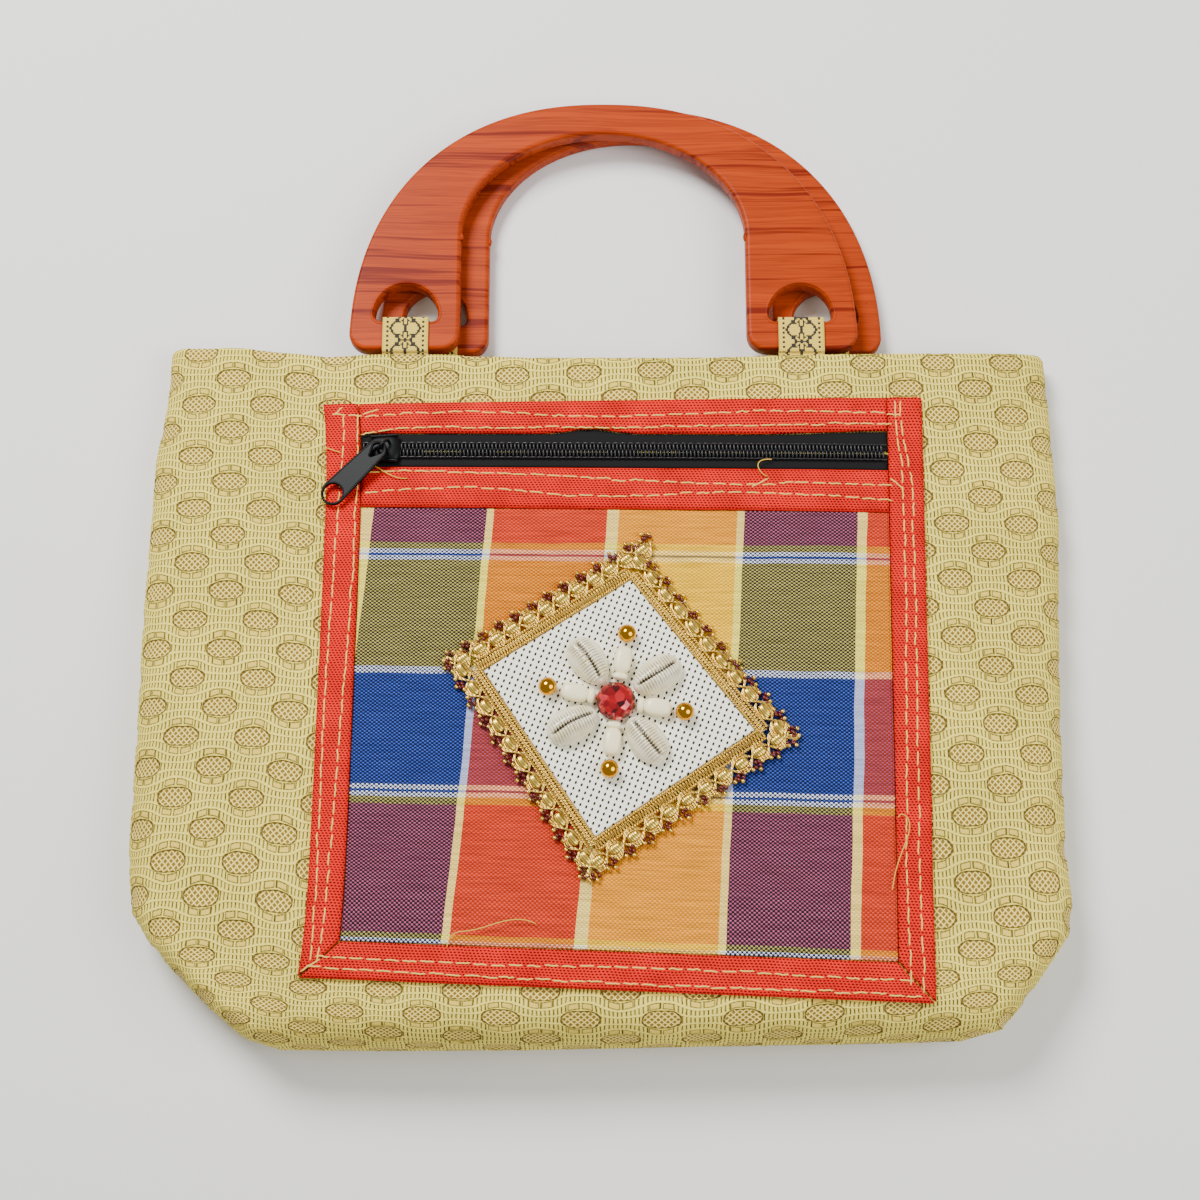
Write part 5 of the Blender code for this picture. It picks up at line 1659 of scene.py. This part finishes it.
def jacquard_ribbon(ground):
    """Beige ribbon with a woven floral band in black steps of 0.5 mm, repeated every 8.5 mm,
    between two dotted lines, and painted shade in the furrows between its fine ribs."""
    made, node = finish("jacquard_ribbon", 0.7, Sheen_Weight=0.2)
    uv = node("UVMap")
    grid = node("VectorMath SNAP", uv, (0.5 * MM, 0.5 * MM, 1.0))
    xy = node("SeparateXYZ", grid)
    u = node("ABSOLUTE", node("ADD", xy.outputs[0], 0.25 * MM))
    run = node("PINGPONG", xy.outputs[1], 4.25 * MM)
    turn = node("MULTIPLY", run, math.tau / (8.5 * MM))
    # A flower of petals round each repeat's middle, and a leafy stem between repeats
    reach = node("SQRT", node("ADD", node("POWER", u, 2.0), node("POWER", run, 2.0)))
    angle = node("ARCTAN2", u, run)
    petal = node("COSINE", node("MULTIPLY", angle, 6.0))
    petal = node("MULTIPLY_ADD", petal, 1.1 * MM, 2.6 * MM)
    petal = node("LESS_THAN", node("ABSOLUTE", node("SUBTRACT", reach, petal)), 0.62 * MM)
    eye = node("LESS_THAN", reach, 0.9 * MM)
    stem = node("MULTIPLY_ADD", node("COSINE", turn), -1.5 * MM, 3.4 * MM)
    stem = node("LESS_THAN", node("ABSOLUTE", node("SUBTRACT", u, stem)), 0.5 * MM)
    motif = node("MAXIMUM", node("MAXIMUM", petal, eye), stem)
    flat_uv = node("SeparateXYZ", uv)
    wide = node("ABSOLUTE", flat_uv.outputs[0])
    line = node("ABSOLUTE", node("SUBTRACT", wide, RIBBON_WIDTH / 2 - 1.7 * MM))
    line = node("LESS_THAN", line, 0.4 * MM)
    dots = node("LESS_THAN", node("PINGPONG", flat_uv.outputs[1], 0.85 * MM), 0.42 * MM)
    dots = node("MULTIPLY", line, dots)
    motif = node("MAXIMUM", motif, dots)
    rib = node("PINGPONG", flat_uv.outputs[1], 0.3 * MM)
    rib = node("DIVIDE", rib, 0.3 * MM)
    # Painted shade in the furrows between the ribs, where the bump is lowest
    cloth = node("ValToRGB", rib, stops=[(0.0, tuple(0.7 * v for v in ground)), (0.6, ground)])
    shade = node("Mix RGBA", motif, cloth, "21180F")
    return dress(made, shade, node("MULTIPLY_ADD", motif, 0.5, rib), 0.12 * MM)


def plain(name, code, roughness, **sockets):
    """A material of one colour."""
    return finish(name, roughness, Base_Color=code, **sockets)[0]


# The add-on


def colour(name, description, code):
    """A colour that a user may change."""
    return FloatVectorProperty(
        name=name, description=description, subtype="COLOR", default=linear(code), min=0, max=1
    )


def length(name, description, default):
    """A small length that a user may change."""
    return FloatProperty(
        name=name, description=description, default=default, min=0.5 * MM, unit="LENGTH"
    )


class HandbagSettings(PropertyGroup):
    """The colours, sizes and light that a user would change"""

    jute_light: colour("Jute light", "Colour of the raised jute threads", "FFE868")
    # The jute's dark colour is painted shade: it fills the slits between the ribs and, mixed a
    # little with the light colour, rings the dashes
    jute_dark: colour("Jute dark", "Colour of the gaps between jute threads", "221A0A")
    tape: colour("Tape", "Colour of the pocket's twill tapes", "CC1A12")
    stitch: colour("Stitches", "Colour of the pocket's sewing thread", "FFC860")
    plastic_light: colour("Plastic light", "Light streaks of the handles", "AA3C0C")
    plastic_dark: colour("Plastic dark", "Dark streaks of the handles", "701C0A")
    ribbon: colour("Ribbon", "Ground colour of the ribbon loops", "F2D04C")
    floor: colour("Floor", "Colour of the floor", "F2F1EE")
    stitch_length: length("Stitch length", "From one pocket stitch to the next", 5.5 * MM)
    coil_pitch: length("Coil pitch", "From one turn of the zip's coil to the next", 1.25 * MM)
    lace_pitch: length("Lace pitch", "From one knot of the gold lace to the next", 6.83 * MM)
    lamp: FloatProperty(
        name="Lamp", description="Power of the large soft lamp", default=22.0, min=0, unit="POWER"
    )


class HANDBAG_OT_body(Operator):
    """Makes the jute body's front and back"""

    bl_idname = "handbag.body"
    bl_label = "Body"

    def execute(self, context):
        chosen = context.scene.handbag
        jute = jute_weave(tuple(chosen.jute_light), tuple(chosen.jute_dark))
        bag_back(jute)
        bag_front(jute)
        return {"FINISHED"}


class HANDBAG_OT_pocket(Operator):
    """Makes the plaid pocket, its tapes, stitches and loose threads"""

    bl_idname = "handbag.pocket"
    bl_label = "Pocket"

    def execute(self, context):
        chosen = context.scene.handbag
        pocket_cloth(plaid_cotton())
        tapes(red_twill(tuple(chosen.tape)))
        stitches(sewing_thread("pale_sewing_thread", tuple(chosen.stitch)), chosen.stitch_length)
        loose_threads(sewing_thread("loose_cotton_thread", linear("E8B838")))
        return {"FINISHED"}


class HANDBAG_OT_zip(Operator):
    """Makes the zip's tapes and teeth, and dresses its slider and pull"""

    bl_idname = "handbag.zip"
    bl_label = "Zip"

    def execute(self, context):
        zip_tapes(zip_tape_cloth())
        zip_teeth(plain("nylon_coil", "141417", 0.34), context.scene.handbag.coil_pitch)
        enamel = plain("black_enamel", "060809", 0.42, Specular_IOR_Level=0.16)
        zip_slider(enamel)
        zip_pull(enamel)
        return {"FINISHED"}


class HANDBAG_OT_patch(Operator):
    """Makes the eyelet patch and its gold lace"""

    bl_idname = "handbag.patch"
    bl_label = "Patch and lace"

    def execute(self, context):
        patch_cloth(canvas_eyelet())
        # Each gold thread's dark colour is painted shade in the gaps between its turns
        light, dark = linear("E6BE58"), linear("553A0C")
        cord = gold_thread("lurex_gimp_cord", light, dark, 0.34, 0.9 * MM)
        knot = gold_thread("flat_gold_knot", linear("F0CC5C"), linear("7A5414"), 0.28, 0.8 * MM)
        bead = plain("dark_red_bead", "5A140C", 0.25)
        lace(knot, cord, bead, context.scene.handbag.lace_pitch)
        return {"FINISHED"}


class HANDBAG_OT_flower(Operator):
    """Makes the shell flower: its stone, shells and beads"""

    bl_idname = "handbag.flower"
    bl_label = "Flower"

    def execute(self, context):
        centre_gem(foiled_stone())
        ivory = plain("ivory_plastic_bead", "FFF2C4", 0.3)
        flower(cowrie_shell(), ivory, plain("gold_plated_bead", "D89A22", 0.12, Metallic=1.0))
        return {"FINISHED"}


class HANDBAG_OT_handles(Operator):
    """Makes the two plate handles and their ribbon loops"""

    bl_idname = "handbag.handles"
    bl_label = "Handles"

    def execute(self, context):
        chosen = context.scene.handbag
        wood = wood_plastic(tuple(chosen.plastic_light), tuple(chosen.plastic_dark))
        handle(0, wood)
        handle(1, wood)
        loops(jacquard_ribbon(tuple(chosen.ribbon)))
        return {"FINISHED"}


class HANDBAG_OT_stage(Operator):
    """Makes the floor, the lights and the camera"""

    bl_idname = "handbag.stage"
    bl_label = "Stage"

    def execute(self, context):
        chosen = context.scene.handbag
        scene = context.scene
        corners = [(x, y, -FLOOR_DROP) for x, y in ((-1, -1), (1, -1), (1, 1), (-1, 1))]
        corners = [(FLOOR_HALF * x, FLOOR_HALF * y, z) for x, y, z in corners]
        mesh = bpy.data.meshes.new("floor")
        mesh.from_pydata(corners, [], [(0, 1, 2, 3)])
        mesh.materials.append(plain("floor_paper", rgba(chosen.floor), 0.9))
        staged = [bpy.data.objects.new("floor", mesh)]
        for name, place, size, share in LAMPS:
            lamp = bpy.data.lights.new(name, "AREA")
            lamp.shape = "DISK"
            lamp.size = size
            lamp.energy = chosen.lamp * share
            holder = bpy.data.objects.new(name, lamp)
            holder.location = place
            holder.rotation_euler = (-Vector(place)).to_track_quat("-Z", "Y").to_euler()
            staged.append(holder)
        world = bpy.data.worlds.new("pale_studio")
        world.use_nodes = True
        glow = world.node_tree.nodes["Background"]
        glow.inputs["Color"].default_value = (1, 1, 1, 1)
        glow.inputs["Strength"].default_value = WORLD_LIGHT
        scene.world = world
        camera = bpy.data.objects.new("camera", bpy.data.cameras.new("camera"))
        angle = math.radians(CAMERA_RISE)
        away = Vector((0, -math.cos(angle), math.sin(angle)))
        camera.location = Vector(CAMERA_TARGET) + CAMERA_DISTANCE * away
        camera.rotation_euler = (math.pi / 2 - angle, 0, 0)
        camera.data.lens = CAMERA_LENS
        camera.data.sensor_width = 36
        camera.data.clip_start = 0.01
        staged.append(camera)
        for made in staged:
            scene.collection.objects.link(made)
        scene.camera = camera
        return {"FINISHED"}


PIECES = (
    HANDBAG_OT_body,
    HANDBAG_OT_pocket,
    HANDBAG_OT_zip,
    HANDBAG_OT_patch,
    HANDBAG_OT_flower,
    HANDBAG_OT_handles,
    HANDBAG_OT_stage,
)


class HANDBAG_PT_panel(Panel):
    """Lists the settings and the operators in the sidebar"""

    bl_label = "Handbag"
    bl_idname = "HANDBAG_PT_panel"
    bl_space_type = "VIEW_3D"
    bl_region_type = "UI"
    bl_category = "Handbag"

    def draw(self, context):
        chosen = context.scene.handbag
        for name in HandbagSettings.__annotations__:
            self.layout.prop(chosen, name)
        for operator in PIECES:
            self.layout.operator(operator.bl_idname)


def register():
    """Adds the settings, operators and panel to Blender."""
    for made in (HandbagSettings, *PIECES, HANDBAG_PT_panel):
        bpy.utils.register_class(made)
    bpy.types.Scene.handbag = PointerProperty(type=HandbagSettings)


def unregister():
    """Takes them out of Blender again."""
    del bpy.types.Scene.handbag
    for made in (HANDBAG_PT_panel, *reversed(PIECES), HandbagSettings):
        bpy.utils.unregister_class(made)


def main():
    register()
    for operator in PIECES:
        group, name = operator.bl_idname.split(".")
        getattr(getattr(bpy.ops, group), name)()


if __name__ == "__main__":
    main()
